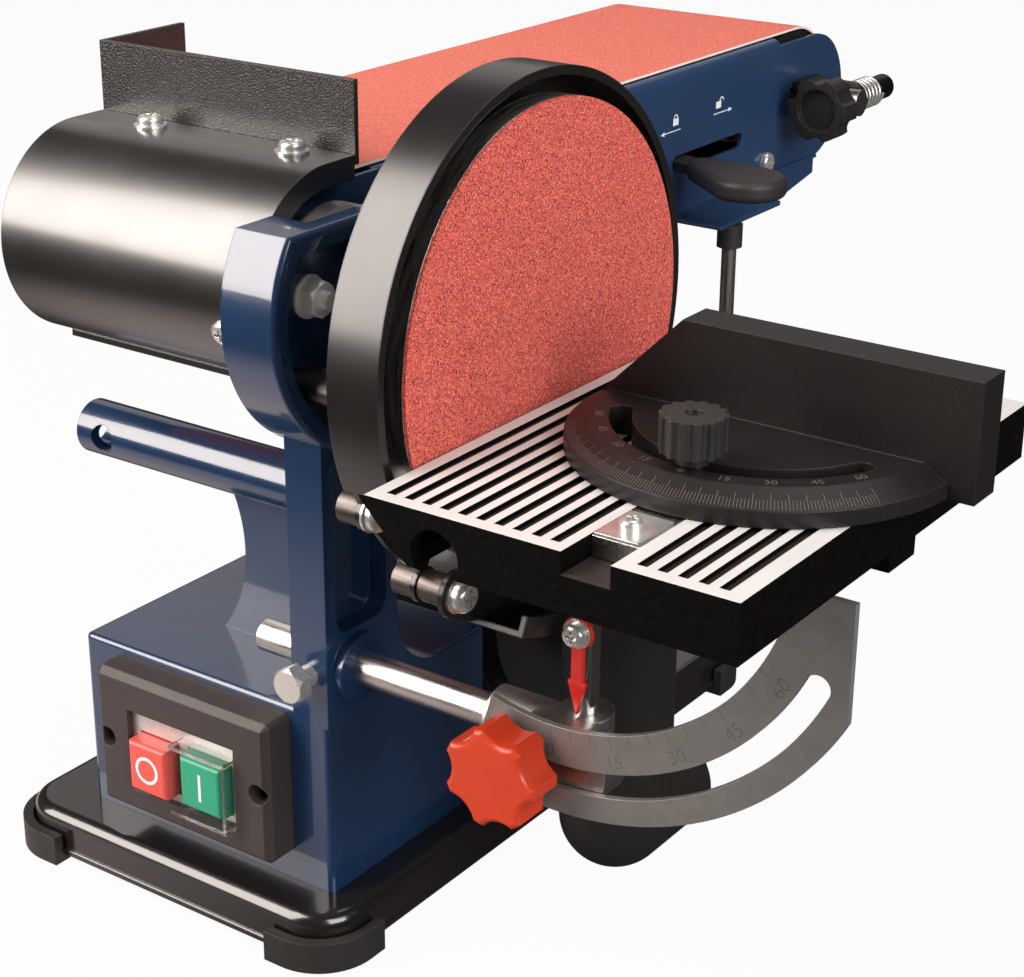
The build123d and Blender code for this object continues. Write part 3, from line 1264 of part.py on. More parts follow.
def switch_box():
    """Switch body with its bevelled front, the button window and two screw holes."""
    face = Pos(SWITCH_X, SWITCH_Z) * RectangleRounded(SWITCH_W, SWITCH_H, SWITCH_R)
    body = slab_y(face, SWITCH_FRONT, BOX_FRONT_Y)
    body = chamfer(body.edges().group_by(Axis.Y)[0], SWITCH_R)
    window = Pos(SWITCH_X, WINDOW_Z) * Rectangle(WINDOW_W, WINDOW_H)
    body -= slab_y(window, SWITCH_FRONT - CUT, WINDOW_FLOOR)
    for well in (stop_outline(BUTTON_GAP), start_outline(BUTTON_GAP)):
        body -= slab_y(well, SWITCH_FRONT, WELL_FLOOR)
    for x in SWITCH_SCREW_XS:
        body -= rod_y(SWITCH_HOLE_R, SWITCH_FRONT - CUT, SWITCH_SEAT, x, SWITCH_Z)
        body -= rod_y(SWITCH_SCREW_R + SEAT_FIT, SWITCH_SEAT - CUT, BOX_FRONT_Y + CUT, x, SWITCH_Z)
    return body


def switch_screws():
    screw = pan_screw(SWITCH_SCREW_R, BOX_FRONT_Y + BOX_WALL - SWITCH_SEAT, SWITCH_SCREW_HEAD)
    return [facing((x, SWITCH_SEAT, SWITCH_Z), (0, -1, 0)) * screw for x in SWITCH_SCREW_XS]


def button_outline(left, width, grow):
    """Button of the window, by its distance from the window's left side, grown for its well."""
    x0 = WINDOW_LEFT + left
    top = WINDOW_TOP - BUTTON_DROP
    return patch(x0 - grow, x0 + width + grow, top - BUTTON_H - grow, top + grow)


def stop_outline(grow):
    return button_outline(STOP_BUTTON_IN, STOP_BUTTON_W, grow)


def start_outline(grow):
    return button_outline(START_BUTTON_IN, START_BUTTON_W, grow)


def switch_shroud():
    """Clear collar above, below and beside the start button."""
    left = WINDOW_LEFT + SHROUD_IN
    right = WINDOW_LEFT + WINDOW_W - SEAT_FIT
    low = WINDOW_TOP - WINDOW_H + SEAT_FIT
    top = WINDOW_TOP - SHROUD_DROP
    frame = patch(left, right, low, top)
    frame -= patch(left - CUT, right - SHROUD_T, low + SHROUD_T, top - SHROUD_T)
    return slab_y(frame, SWITCH_FRONT - SHROUD_OUT, WINDOW_FLOOR)


def button(outline, out):
    """Button cap with an eased front, free to go in by its travel."""
    cap = slab_y(outline, SWITCH_FRONT - out, WELL_FLOOR - BUTTON_TRAVEL - AIR)
    return fillet(cap.edges().group_by(Axis.Y)[0], BUTTON_EDGE)


def stop_button():
    return button(stop_outline(0), STOP_BUTTON_OUT)


def start_button():
    return button(start_outline(0), START_BUTTON_OUT)


# Table carrier

def support_bar():
    return rod_x(BAR_R, BAR_START, BLOCK_START + BAR_IN, BAR_Y, BAR_Z)


def mount_block():
    """Cast block on the end of the bar: socket of the post and seat of the tilt knob."""
    block = rod_x(BLOCK_R, BLOCK_START, HINGE_X, BAR_Y, BAR_Z)
    block += rod_z(POST_SOCKET_R, BAR_Z - BLOCK_R, POST_SOCKET_TOP, HINGE_X, BAR_Y)
    block += slab_y(Pos(CLAMP_X, BAR_Z) * SlotOverall(CLAMP_W, CLAMP_H), CLAMP_FRONT, CLAMP_FRONT + CLAMP_D)
    block -= rod_x(BAR_R + SEAT_FIT, BLOCK_START - CUT, BLOCK_START + BAR_IN, BAR_Y, BAR_Z)
    block -= rod_z(POST_R + SEAT_FIT, BAR_Z, POST_SOCKET_TOP + CUT, HINGE_X, BAR_Y)
    return block - rod_y(TILT_STUD_R + RUN_FIT, CLAMP_FRONT - CUT, TILT_STUD_END + AIR, TILT_X, TILT_Z)


def table_post():
    """Chrome post with the eye of the table hinge."""
    post = rod_z(POST_R, BAR_Z, HINGE_Z, HINGE_X, BAR_Y)
    post += rod_y(HINGE_EYE_R, BAR_Y - HINGE_EYE_L / 2, BAR_Y + HINGE_EYE_L / 2, HINGE_X, HINGE_Z)
    post -= rod_y(HINGE_PIN_R + RUN_FIT, BAR_Y - HINGE_EYE_L, BAR_Y + HINGE_EYE_L, HINGE_X, HINGE_Z)
    return post - rod_y(POINTER_SCREW_R + SEAT_FIT, BAR_Y - 2 * POST_R, BAR_Y, HINGE_X, POINTER_Z)


def tilt_pointer():
    """Arrow that reads the tilt on the quadrant."""
    neck = POINTER_TIP + POINTER_HEAD_L
    arrow = Pos(HINGE_X, POINTER_Z) * Circle(POINTER_R)
    arrow += patch(HINGE_X - POINTER_W / 2, HINGE_X + POINTER_W / 2, neck, POINTER_Z)
    half = POINTER_HEAD_W / 2
    arrow += polygon((HINGE_X - half, neck), (HINGE_X, POINTER_TIP), (HINGE_X + half, neck))
    arrow -= Pos(HINGE_X, POINTER_Z) * Circle(POINTER_SCREW_R + SEAT_FIT)
    return slab_y(arrow, POINTER_FRONT, POINTER_FRONT + POINTER_T)


def pointer_screw():
    screw = pan_screw(POINTER_SCREW_R, POINTER_T + POST_R - CUT, POINTER_HEAD_R, washer_r=POINTER_WASHER_R)
    return facing((HINGE_X, POINTER_FRONT, POINTER_Z), (0, -1, 0)) * screw


def tilt_knob():
    """Lobed clamp knob with its stud."""
    collar_front = QUAD_Y - AIR - TILT_COLLAR_L
    face = collar_front - TILT_KNOB_L
    outline = lobed(TILT_KNOB_R, TILT_KNOB_LOBES, TILT_KNOB_DIP, TILT_KNOB_HOLLOW)
    knob = slab_y(Pos(TILT_X, TILT_Z) * outline, face, collar_front)
    knob = fillet(knob.edges().group_by(Axis.Y)[0], TILT_KNOB_EDGE)
    knob += rod_y(TILT_COLLAR_R, collar_front, QUAD_Y - AIR, TILT_X, TILT_Z)
    return knob + rod_y(TILT_STUD_R, face, TILT_STUD_END, TILT_X, TILT_Z)


# Table

def table_hollow():
    """Open underside of the table, its disc side following the bevel."""
    slant = TABLE_NEAR + TABLE_LOW + TABLE_CHAMFER + TABLE_WALL * math.sqrt(2)
    inner = TABLE_FAR - TABLE_WALL
    knee = TABLE_LOW + TABLE_WALL
    section = polygon((slant - TABLE_ROOF, TABLE_ROOF), (inner, TABLE_ROOF), (inner, TABLE_LOW - CUT),
                      (slant - knee, TABLE_LOW - CUT), (slant - knee, knee))
    return slab_y(section, TABLE_FRONT + TABLE_WALL, TABLE_BACK - TABLE_WALL)


def groove_places():
    left = MITER_SLOT_X - MITER_SLOT_W / 2 - GROOVE_LEFT_GAP
    right = MITER_SLOT_X + MITER_SLOT_W / 2 + GROOVE_RIGHT_GAP
    places = [left - i * GROOVE_PITCH for i in range(GROOVES_LEFT)]
    return places + [right + i * GROOVE_PITCH for i in range(GROOVES_RIGHT)]


def table_lugs():
    """Hinge lugs, the block of the quadrant and a small corner lug."""
    lugs = []
    lug = Pos(HINGE_X, HINGE_Z) * Circle(HINGE_LUG_R)
    lug += patch(HINGE_X - HINGE_LUG_R, HINGE_X + HINGE_LUG_R, HINGE_Z, TABLE_ROOF + CUT)
    for side in (-1, 1):
        y = BAR_Y + side * (HINGE_EYE_L / 2 + AIR + HINGE_LUG_T / 2)
        lugs.append(slab_y(lug, y - HINGE_LUG_T / 2, y + HINGE_LUG_T / 2))
    block_y = QUAD_Y + QUAD_T
    lugs.append(box(QUAD_LUG_LEFT, QUAD_LUG_RIGHT, block_y, block_y + QUAD_BLOCK_T, QUAD_NOTCH,
                    TABLE_ROOF + CUT))
    lugs.append(box(TABLE_FAR - CORNER_LUG_W, TABLE_FAR, CORNER_LUG_Y, CORNER_LUG_Y + CORNER_LUG_L,
                    TABLE_LOW - CORNER_LUG_H, TABLE_LOW + CUT))
    return lugs


def table():
    knee = TABLE_LOW + TABLE_CHAMFER
    section = polygon((TABLE_NEAR, TABLE_TOP), (TABLE_FAR, TABLE_TOP), (TABLE_FAR, TABLE_LOW),
                      (TABLE_NEAR + TABLE_CHAMFER, TABLE_LOW), (TABLE_NEAR, knee))
    top = slab_y(section, TABLE_FRONT, TABLE_BACK) - table_hollow()
    slot_x0 = MITER_SLOT_X - MITER_SLOT_W / 2
    slot_x1 = MITER_SLOT_X + MITER_SLOT_W / 2
    slot_z = TABLE_TOP - MITER_SLOT_D
    top += box(slot_x0 - SLOT_RIB, slot_x1 + SLOT_RIB, TABLE_FRONT, TABLE_BACK, slot_z - SLOT_RIB,
               TABLE_ROOF + CUT)
    top -= box(slot_x0, slot_x1, TABLE_FRONT - CUT, TABLE_BACK + CUT, slot_z, TABLE_TOP + CUT)
    for x in groove_places():
        top -= box(x - GROOVE_W / 2, x + GROOVE_W / 2, TABLE_FRONT + GROOVE_MARGIN,
                   TABLE_BACK - GROOVE_MARGIN, TABLE_TOP - GROOVE_D, TABLE_TOP + CUT)
    for lug in table_lugs():
        top += lug
    top -= rod_y(NOTCH_R, TABLE_FRONT - CUT, TABLE_FRONT + TABLE_WALL + CUT, HINGE_X, TABLE_LOW + NOTCH_UP)
    pin_half = HINGE_EYE_L + HINGE_LUG_T
    top -= rod_y(HINGE_PIN_R + SEAT_FIT, BAR_Y - pin_half, BAR_Y + pin_half, HINGE_X, HINGE_Z)
    for z in QUAD_SCREW_ZS:
        top -= rod_y(QUAD_SCREW_R + SEAT_FIT, QUAD_Y, QUAD_Y + QUAD_T + QUAD_BLOCK_T + CUT, QUAD_SCREW_X, z)
    return top


def quad_point(radius, angle):
    """Point of the quadrant, its angle taken from straight down towards the far side."""
    turn = math.radians(angle)
    return HINGE_X + radius * math.sin(turn), HINGE_Z - radius * math.cos(turn)


def quadrant():
    """Graduated tilt plate with its curved slot and fixing lug."""
    pivot = (HINGE_X, HINGE_Z)
    rim = CenterArc(pivot, QUAD_OUT, QUAD_FROM_ANGLE - 90, QUAD_RIGHT_ANGLE - QUAD_FROM_ANGLE)
    bow = CenterArc(pivot, QUAD_IN, QUAD_FROM_ANGLE - 90, QUAD_BOW_ANGLE - QUAD_FROM_ANGLE)
    right = quad_point(QUAD_OUT, QUAD_RIGHT_ANGLE)[0]
    side = Polyline(rim @ 1, (right, QUAD_NOTCH), (QUAD_LUG_RIGHT, QUAD_NOTCH),
                    (QUAD_LUG_RIGHT, QUAD_LUG_TOP), (QUAD_LUG_LEFT, QUAD_LUG_TOP), bow @ 1)
    plate = make_face([rim, bow, Line(bow @ 0, rim @ 0)] + list(side.edges()))
    slot_mid = (QUAD_SLOT_IN + QUAD_SLOT_OUT) / 2
    slot = sector(QUAD_SLOT_IN, QUAD_SLOT_OUT, QUAD_SLOT_FROM_ANGLE - 90, QUAD_SLOT_TO_ANGLE - 90)
    slot = Pos(*pivot) * slot
    for angle in (QUAD_SLOT_FROM_ANGLE, QUAD_SLOT_TO_ANGLE):
        slot += Pos(*quad_point(slot_mid, angle)) * Circle((QUAD_SLOT_OUT - QUAD_SLOT_IN) / 2)
    plate -= slot
    for z in QUAD_SCREW_ZS:
        plate -= Pos(QUAD_SCREW_X, z) * Circle(QUAD_SCREW_R + SEAT_FIT)
    return slab_y(plate, QUAD_Y, QUAD_Y + QUAD_T)


def quadrant_screws():
    screw = pan_screw(QUAD_SCREW_R, QUAD_T + QUAD_BLOCK_T - CUT, QUAD_SCREW_HEAD, QUAD_SCREW_HEAD_H)
    return [facing((QUAD_SCREW_X, QUAD_Y, z), (0, -1, 0)) * screw for z in QUAD_SCREW_ZS]


def hinge_pin():
    half = HINGE_EYE_L / 2 + AIR + HINGE_LUG_T
    return rod_y(HINGE_PIN_R, BAR_Y - half, BAR_Y + half, HINGE_X, HINGE_Z)


# Miter gauge

def miter_bar():
    """Bar in the table slot with the pivot of the gauge head."""
    half = MITER_SLOT_W / 2 - MITER_SIDE
    bar = box(MITER_SLOT_X - half, MITER_SLOT_X + half, MITER_BAR_FRONT, MITER_BAR_BACK, MITER_BAR_LOW,
              MITER_BAR_TOP)
    bar += rod_z(MITER_PIVOT_R, MITER_BAR_TOP, MITER_LOW + MITER_WALL_H, MITER_SLOT_X, MITER_PIVOT_Y)
    for radius, y in ((MITER_STUD_R + RUN_FIT, MITER_STUD_Y), (CURSOR_SCREW_R + SEAT_FIT, CURSOR_SCREW_Y)):
        bar -= rod_z(radius, MITER_BAR_LOW - CUT, MITER_BAR_TOP + CUT, MITER_SLOT_X, y)
    return bar


def miter_cursor():
    """Reading plate at the front of the bar."""
    half = MITER_SLOT_W / 2 - CURSOR_SIDE
    back = MITER_BAR_FRONT + CURSOR_L
    x0 = MITER_SLOT_X - half
    x1 = MITER_SLOT_X + half
    plate = box(x0, x1, MITER_BAR_FRONT, back, MITER_BAR_TOP, MITER_BAR_TOP + CURSOR_T)
    hole = rod_z(CURSOR_SCREW_R + SEAT_FIT, MITER_BAR_TOP - CUT, MITER_BAR_TOP + CURSOR_T + CUT)
    return plate - Pos(MITER_SLOT_X, CURSOR_SCREW_Y) * hole


def cursor_screw():
    screw = pan_screw(CURSOR_SCREW_R, CURSOR_T + MITER_BAR_T - CUT, CURSOR_SCREW_HEAD)
    return Pos(MITER_SLOT_X, CURSOR_SCREW_Y, MITER_BAR_TOP + CURSOR_T) * screw


def miter_head():
    """Half-round protractor with a bevelled rim, a curved slot and the fence."""
    pivot = Pos(MITER_SLOT_X, MITER_PIVOT_Y)
    bevel_h = MITER_H - MITER_WALL_H
    head = Pos(0, 0, MITER_LOW + MITER_WALL_H / 2) * Cylinder(MITER_R, MITER_WALL_H)
    bevel = Cone(MITER_R, MITER_R - MITER_BEVEL, bevel_h)
    head += Pos(0, 0, MITER_LOW + MITER_WALL_H + bevel_h / 2) * bevel
    head &= Pos(0, -MITER_R, MITER_LOW) * Box(4 * MITER_R, 2 * MITER_R, 4 * MITER_H)
    half = MITER_ARC_W / 2
    ends = (-90 - MITER_ARC_TO_ANGLE, -90 + MITER_ARC_TO_ANGLE)
    slot = sector(MITER_SLOT_R - half, MITER_SLOT_R + half, *ends)
    for x, y in circle_points(MITER_SLOT_R, ends):
        slot += Pos(x, y) * Circle(half)
    head = pivot * (head - slab_z(slot, MITER_LOW - CUT, MITER_LOW + MITER_H + CUT))
    top = MITER_LOW + FENCE_H
    fence = polygon((FENCE_LEFT, MITER_LOW), (FENCE_RIGHT, MITER_LOW), (FENCE_RIGHT, top),
                    (FENCE_LEFT + FENCE_CUT, top), (FENCE_LEFT, top - FENCE_CUT))
    head += slab_y(fence, FENCE_FRONT, FENCE_FRONT + FENCE_T)
    pivot_bore = rod_z(MITER_PIVOT_R + RUN_FIT, MITER_LOW - CUT, MITER_LOW + MITER_WALL_H + AIR)
    return head - pivot * pivot_bore


def miter_knob():
    """Ribbed clamp knob with its stud."""
    low = MITER_LOW + MITER_H + AIR
    knob_low = low + MITER_COLLAR_L
    knob_top = knob_low + MITER_KNOB_L
    outline = lobed(MITER_KNOB_R, MITER_KNOB_RIBS, MITER_KNOB_DIP, MITER_KNOB_HOLLOW)
    knob = slab_z(outline, knob_low, knob_top)
    knob -= rod_z(MITER_DIMPLE_R, knob_top - MITER_DIMPLE_D, knob_top + CUT)
    knob += rod_z(MITER_COLLAR_R, low, knob_low) + rod_z(MITER_STUD_R, MITER_BAR_LOW + AIR, low)
    return Pos(MITER_SLOT_X, MITER_STUD_Y) * knob


def base_fasteners():
    return base_bolts() + motor_bolts() + rest_nuts()


def arm_screws():
    return stop_screws() + [cover_screw(), arm_screw()]


PIECES = [
    base_plate, feet, base_fasteners, frame_casting, rod_lock_bolt, front_bearing, pivot_housing,
    pivot_bolts, motor_body, drive_belt, switch_box, switch_shroud, switch_screws, guard, guard_spacers,
    guard_screws, dust_hood, rest_rod, rest_cap,
    spindle, disc_plate, sanding_disc, drive_drum, spindle_pulley,
    motor_shaft, motor_pulley,
    arm_frame, pivot_spigot, rear_bearing, drum_cover, work_stop, arm_screws, sanding_belt, lever_pin,
    idler_carriage, idler_axle, tracking_bracket, tracking_spring,
    idler_drum, tracking_knob, tracking_screw, tension_lever,
    support_bar, mount_block, table_post, tilt_pointer, pointer_screw, tilt_knob,
    table, quadrant, quadrant_screws, hinge_pin,
    miter_bar, miter_cursor, cursor_screw, miter_head, miter_knob,
    stop_button, start_button,
]


def main():
    os.makedirs("parts", exist_ok=True)
    for piece in PIECES:
        made = piece()
        solids = made if isinstance(made, list) else [made]
        export_step(Compound(children=[DATUM * solid for solid in solids]), f"parts/{piece.__name__}.step")


main()
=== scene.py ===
"""Looks of a belt and disc sander: finishes, engraved scales, symbols, studio and camera.

Sizes are in millimetres from the middle of the sanding disc's face, +X out of the disc, +Y along the belt
and +Z up, unless a name ends in _m.
"""

import logging
import math
from dataclasses import dataclass, field
from enum import Enum
from typing import Callable, Sequence, Union

import bpy
from mathutils import Matrix, Vector


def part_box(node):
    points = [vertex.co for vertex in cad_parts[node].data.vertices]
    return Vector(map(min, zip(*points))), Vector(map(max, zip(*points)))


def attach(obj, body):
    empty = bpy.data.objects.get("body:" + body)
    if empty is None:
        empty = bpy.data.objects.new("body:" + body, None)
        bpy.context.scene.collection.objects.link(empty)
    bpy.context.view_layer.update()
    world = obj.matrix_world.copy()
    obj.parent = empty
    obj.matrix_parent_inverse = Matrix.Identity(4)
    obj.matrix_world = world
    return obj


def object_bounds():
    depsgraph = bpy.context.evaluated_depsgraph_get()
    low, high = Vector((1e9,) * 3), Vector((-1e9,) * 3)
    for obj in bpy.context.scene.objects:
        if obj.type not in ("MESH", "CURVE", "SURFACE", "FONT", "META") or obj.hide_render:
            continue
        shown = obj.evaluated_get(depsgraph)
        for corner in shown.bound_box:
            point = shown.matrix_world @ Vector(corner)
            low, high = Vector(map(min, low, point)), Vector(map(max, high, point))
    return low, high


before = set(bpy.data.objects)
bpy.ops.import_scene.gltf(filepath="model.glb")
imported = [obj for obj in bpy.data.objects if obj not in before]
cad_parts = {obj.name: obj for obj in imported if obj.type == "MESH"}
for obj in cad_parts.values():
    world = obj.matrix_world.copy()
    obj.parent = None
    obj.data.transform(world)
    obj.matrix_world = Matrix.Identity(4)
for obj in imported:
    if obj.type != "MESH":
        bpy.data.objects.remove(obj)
CAD_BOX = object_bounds()

LOG = logging.getLogger("sander")
MM = 0.001

Colour = tuple[float, float, float]
Point = tuple[float, float, float]
Span = tuple[float, float]
Socket = bpy.types.NodeSocket
Value = Union[float, Socket]

# The mix node's inputs for share, first and second, by kind of value
COLOUR_MIX = (0, 6, 7)
NUMBER_MIX = (0, 2, 3)
# Cosines between which a face comes to count as square to an axis
SQUARE_ON = (0.8, 0.95)
WHITE = (1.0, 1.0, 1.0)
OUT, ALONG, UP = Vector((1, 0, 0)), Vector((0, 1, 0)), Vector((0, 0, 1))


def disc_centre() -> Vector:
    """The middle of the sanding disc's face, in metres in the row frame."""
    low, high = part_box("sanding_disc")
    return Vector((high.x, (low.y + high.y) / 2, (low.z + high.z) / 2))


CENTRE = disc_centre()


def at(x: float, y: float, z: float) -> Vector:
    """Moves a point in millimetres from the disc's centre into the row frame.

    Args:
        x: distance out of the disc.
        y: distance along the belt.
        z: height above the spindle.

    Returns:
        The point in metres.
    """
    return CENTRE + Vector((x, y, z)) * MM


class Web:
    """A node tree with short calls for adding and joining its nodes."""

    def __init__(self, tree: bpy.types.NodeTree) -> None:
        """Wraps one node tree."""
        self.tree = tree

    def node(self, kind: str, **settings: object) -> bpy.types.Node:
        """Adds a node.

        Args:
            kind: the node's type name.
            settings: properties to set on it.

        Returns:
            The new node.
        """
        made = self.tree.nodes.new(kind)
        for key, value in settings.items():
            setattr(made, key, value)
        return made

    def feed(self, socket: Socket, value: object) -> None:
        """Links a socket to an input, or sets the input's own value.

        Args:
            socket: the input.
            value: a socket to link, or a plain value to set.
        """
        if isinstance(value, Socket):
            self.tree.links.new(value, socket)
        else:
            socket.default_value = value

    def maths(self, operation: str, first: Value, second: Value = 0.0) -> Socket:
        """Adds a math node.

        Args:
            operation: what it does.
            first: its first number.
            second: its second number.

        Returns:
            The result.
        """
        made = self.node("ShaderNodeMath", operation=operation)
        self.feed(made.inputs[0], first)
        self.feed(made.inputs[1], second)
        return made.outputs[0]

    def vectors(self, operation: str, first: object, second: object) -> bpy.types.Node:
        """Adds a vector math node.

        Args:
            operation: what it does.
            first: its first vector.
            second: its second vector.

        Returns:
            The node, with outputs Vector and Value.
        """
        made = self.node("ShaderNodeVectorMath", operation=operation)
        self.feed(made.inputs[0], first)
        self.feed(made.inputs[1], second)
        return made

    def split(self, vector: Socket) -> bpy.types.Node:
        """Splits a vector into outputs X, Y and Z.

        Args:
            vector: what is split.

        Returns:
            The node.
        """
        made = self.node("ShaderNodeSeparateXYZ")
        self.feed(made.inputs[0], vector)
        return made

    def mix(self, share: Value, first: object, second: object) -> Socket:
        """Mixes two colours.

        Args:
            share: how much of the second there is.
            first: a colour or a socket.
            second: a colour or a socket.

        Returns:
            The mixed colour.
        """
        made = self.node("ShaderNodeMix", data_type="RGBA")
        for index, given in zip(COLOUR_MIX, (share, first, second)):
            self.feed(made.inputs[index], (*given, 1.0) if isinstance(given, tuple) else given)
        return made.outputs[2]

    def blend(self, share: Value, first: Value, second: Value) -> Socket:
        """Mixes two numbers.

        Args:
            share: how much of the second there is.
            first: a number or a socket.
            second: a number or a socket.

        Returns:
            The mixed number.
        """
        made = self.node("ShaderNodeMix", data_type="FLOAT")
        for index, given in zip(NUMBER_MIX, (share, first, second)):
            self.feed(made.inputs[index], given)
        return made.outputs[0]

    def spread(self, value: Value, low: float, high: float, start: float = 0.0, stop: float = 1.0,
               smooth: bool = False) -> Socket:
        """Maps a value from one range to another, held inside it.

        Args:
            value: what is mapped.
            low: the value that gives start.
            high: the value that gives stop.
            start: result at low.
            stop: result at high.
            smooth: eases in and out.

        Returns:
            The mapped value.
        """
        easing = "SMOOTHSTEP" if smooth else "LINEAR"
        made = self.node("ShaderNodeMapRange", interpolation_type=easing, clamp=True)
        for socket, given in zip(made.inputs, (value, low, high, start, stop)):
            self.feed(socket, given)
        return made.outputs[0]

    def noise(self, place: Socket, scale: Value, detail: float, rough: float = 0.5) -> Socket:
        """Adds a noise texture.

        Args:
            place: where on the piece.
            scale: how fine it is.
            detail: how many finer layers it has.
            rough: how strong they are.

        Returns:
            Its value.
        """
        made = self.node("ShaderNodeTexNoise")
        self.feed(made.inputs["Vector"], place)
        self.feed(made.inputs["Scale"], scale)
        made.inputs["Detail"].default_value = detail
        made.inputs["Roughness"].default_value = rough
        return made.outputs["Fac"]

    def cells(self, place: Socket, scale: Value) -> bpy.types.Node:
        """Adds a cell texture.

        Args:
            place: where on the piece.
            scale: how fine it is.

        Returns:
            The node, with outputs Distance and Color.
        """
        made = self.node("ShaderNodeTexVoronoi")
        self.feed(made.inputs["Vector"], place)
        self.feed(made.inputs["Scale"], scale)
        return made

    def place(self) -> Socket:
        """Object coordinates, which stay with the piece as it moves."""
        return self.node("ShaderNodeTexCoord").outputs["Object"]

    def facing(self) -> Socket:
        """The surface's normal in the piece's own frame.

        Returns:
            The normal.
        """
        normal = self.node("ShaderNodeNewGeometry").outputs["Normal"]
        turn = self.node("ShaderNodeVectorTransform", vector_type="NORMAL",
                         convert_from="WORLD", convert_to="OBJECT")
        self.feed(turn.inputs[0], normal)
        return turn.outputs[0]


class Effect(Enum):
    """Surface effects that several finishes share, each one a shader node group."""

    ROUND_EDGES = "round_edges"
    PAINT_SKIN = "paint_skin"
    MOULD_GRAIN = "mould_grain"
    TOOL_STREAKS = "tool_streaks"
    ABRASIVE_GRIT = "abrasive_grit"
    ZINC_SPANGLE = "zinc_spangle"
    CAST_SKIN = "cast_skin"


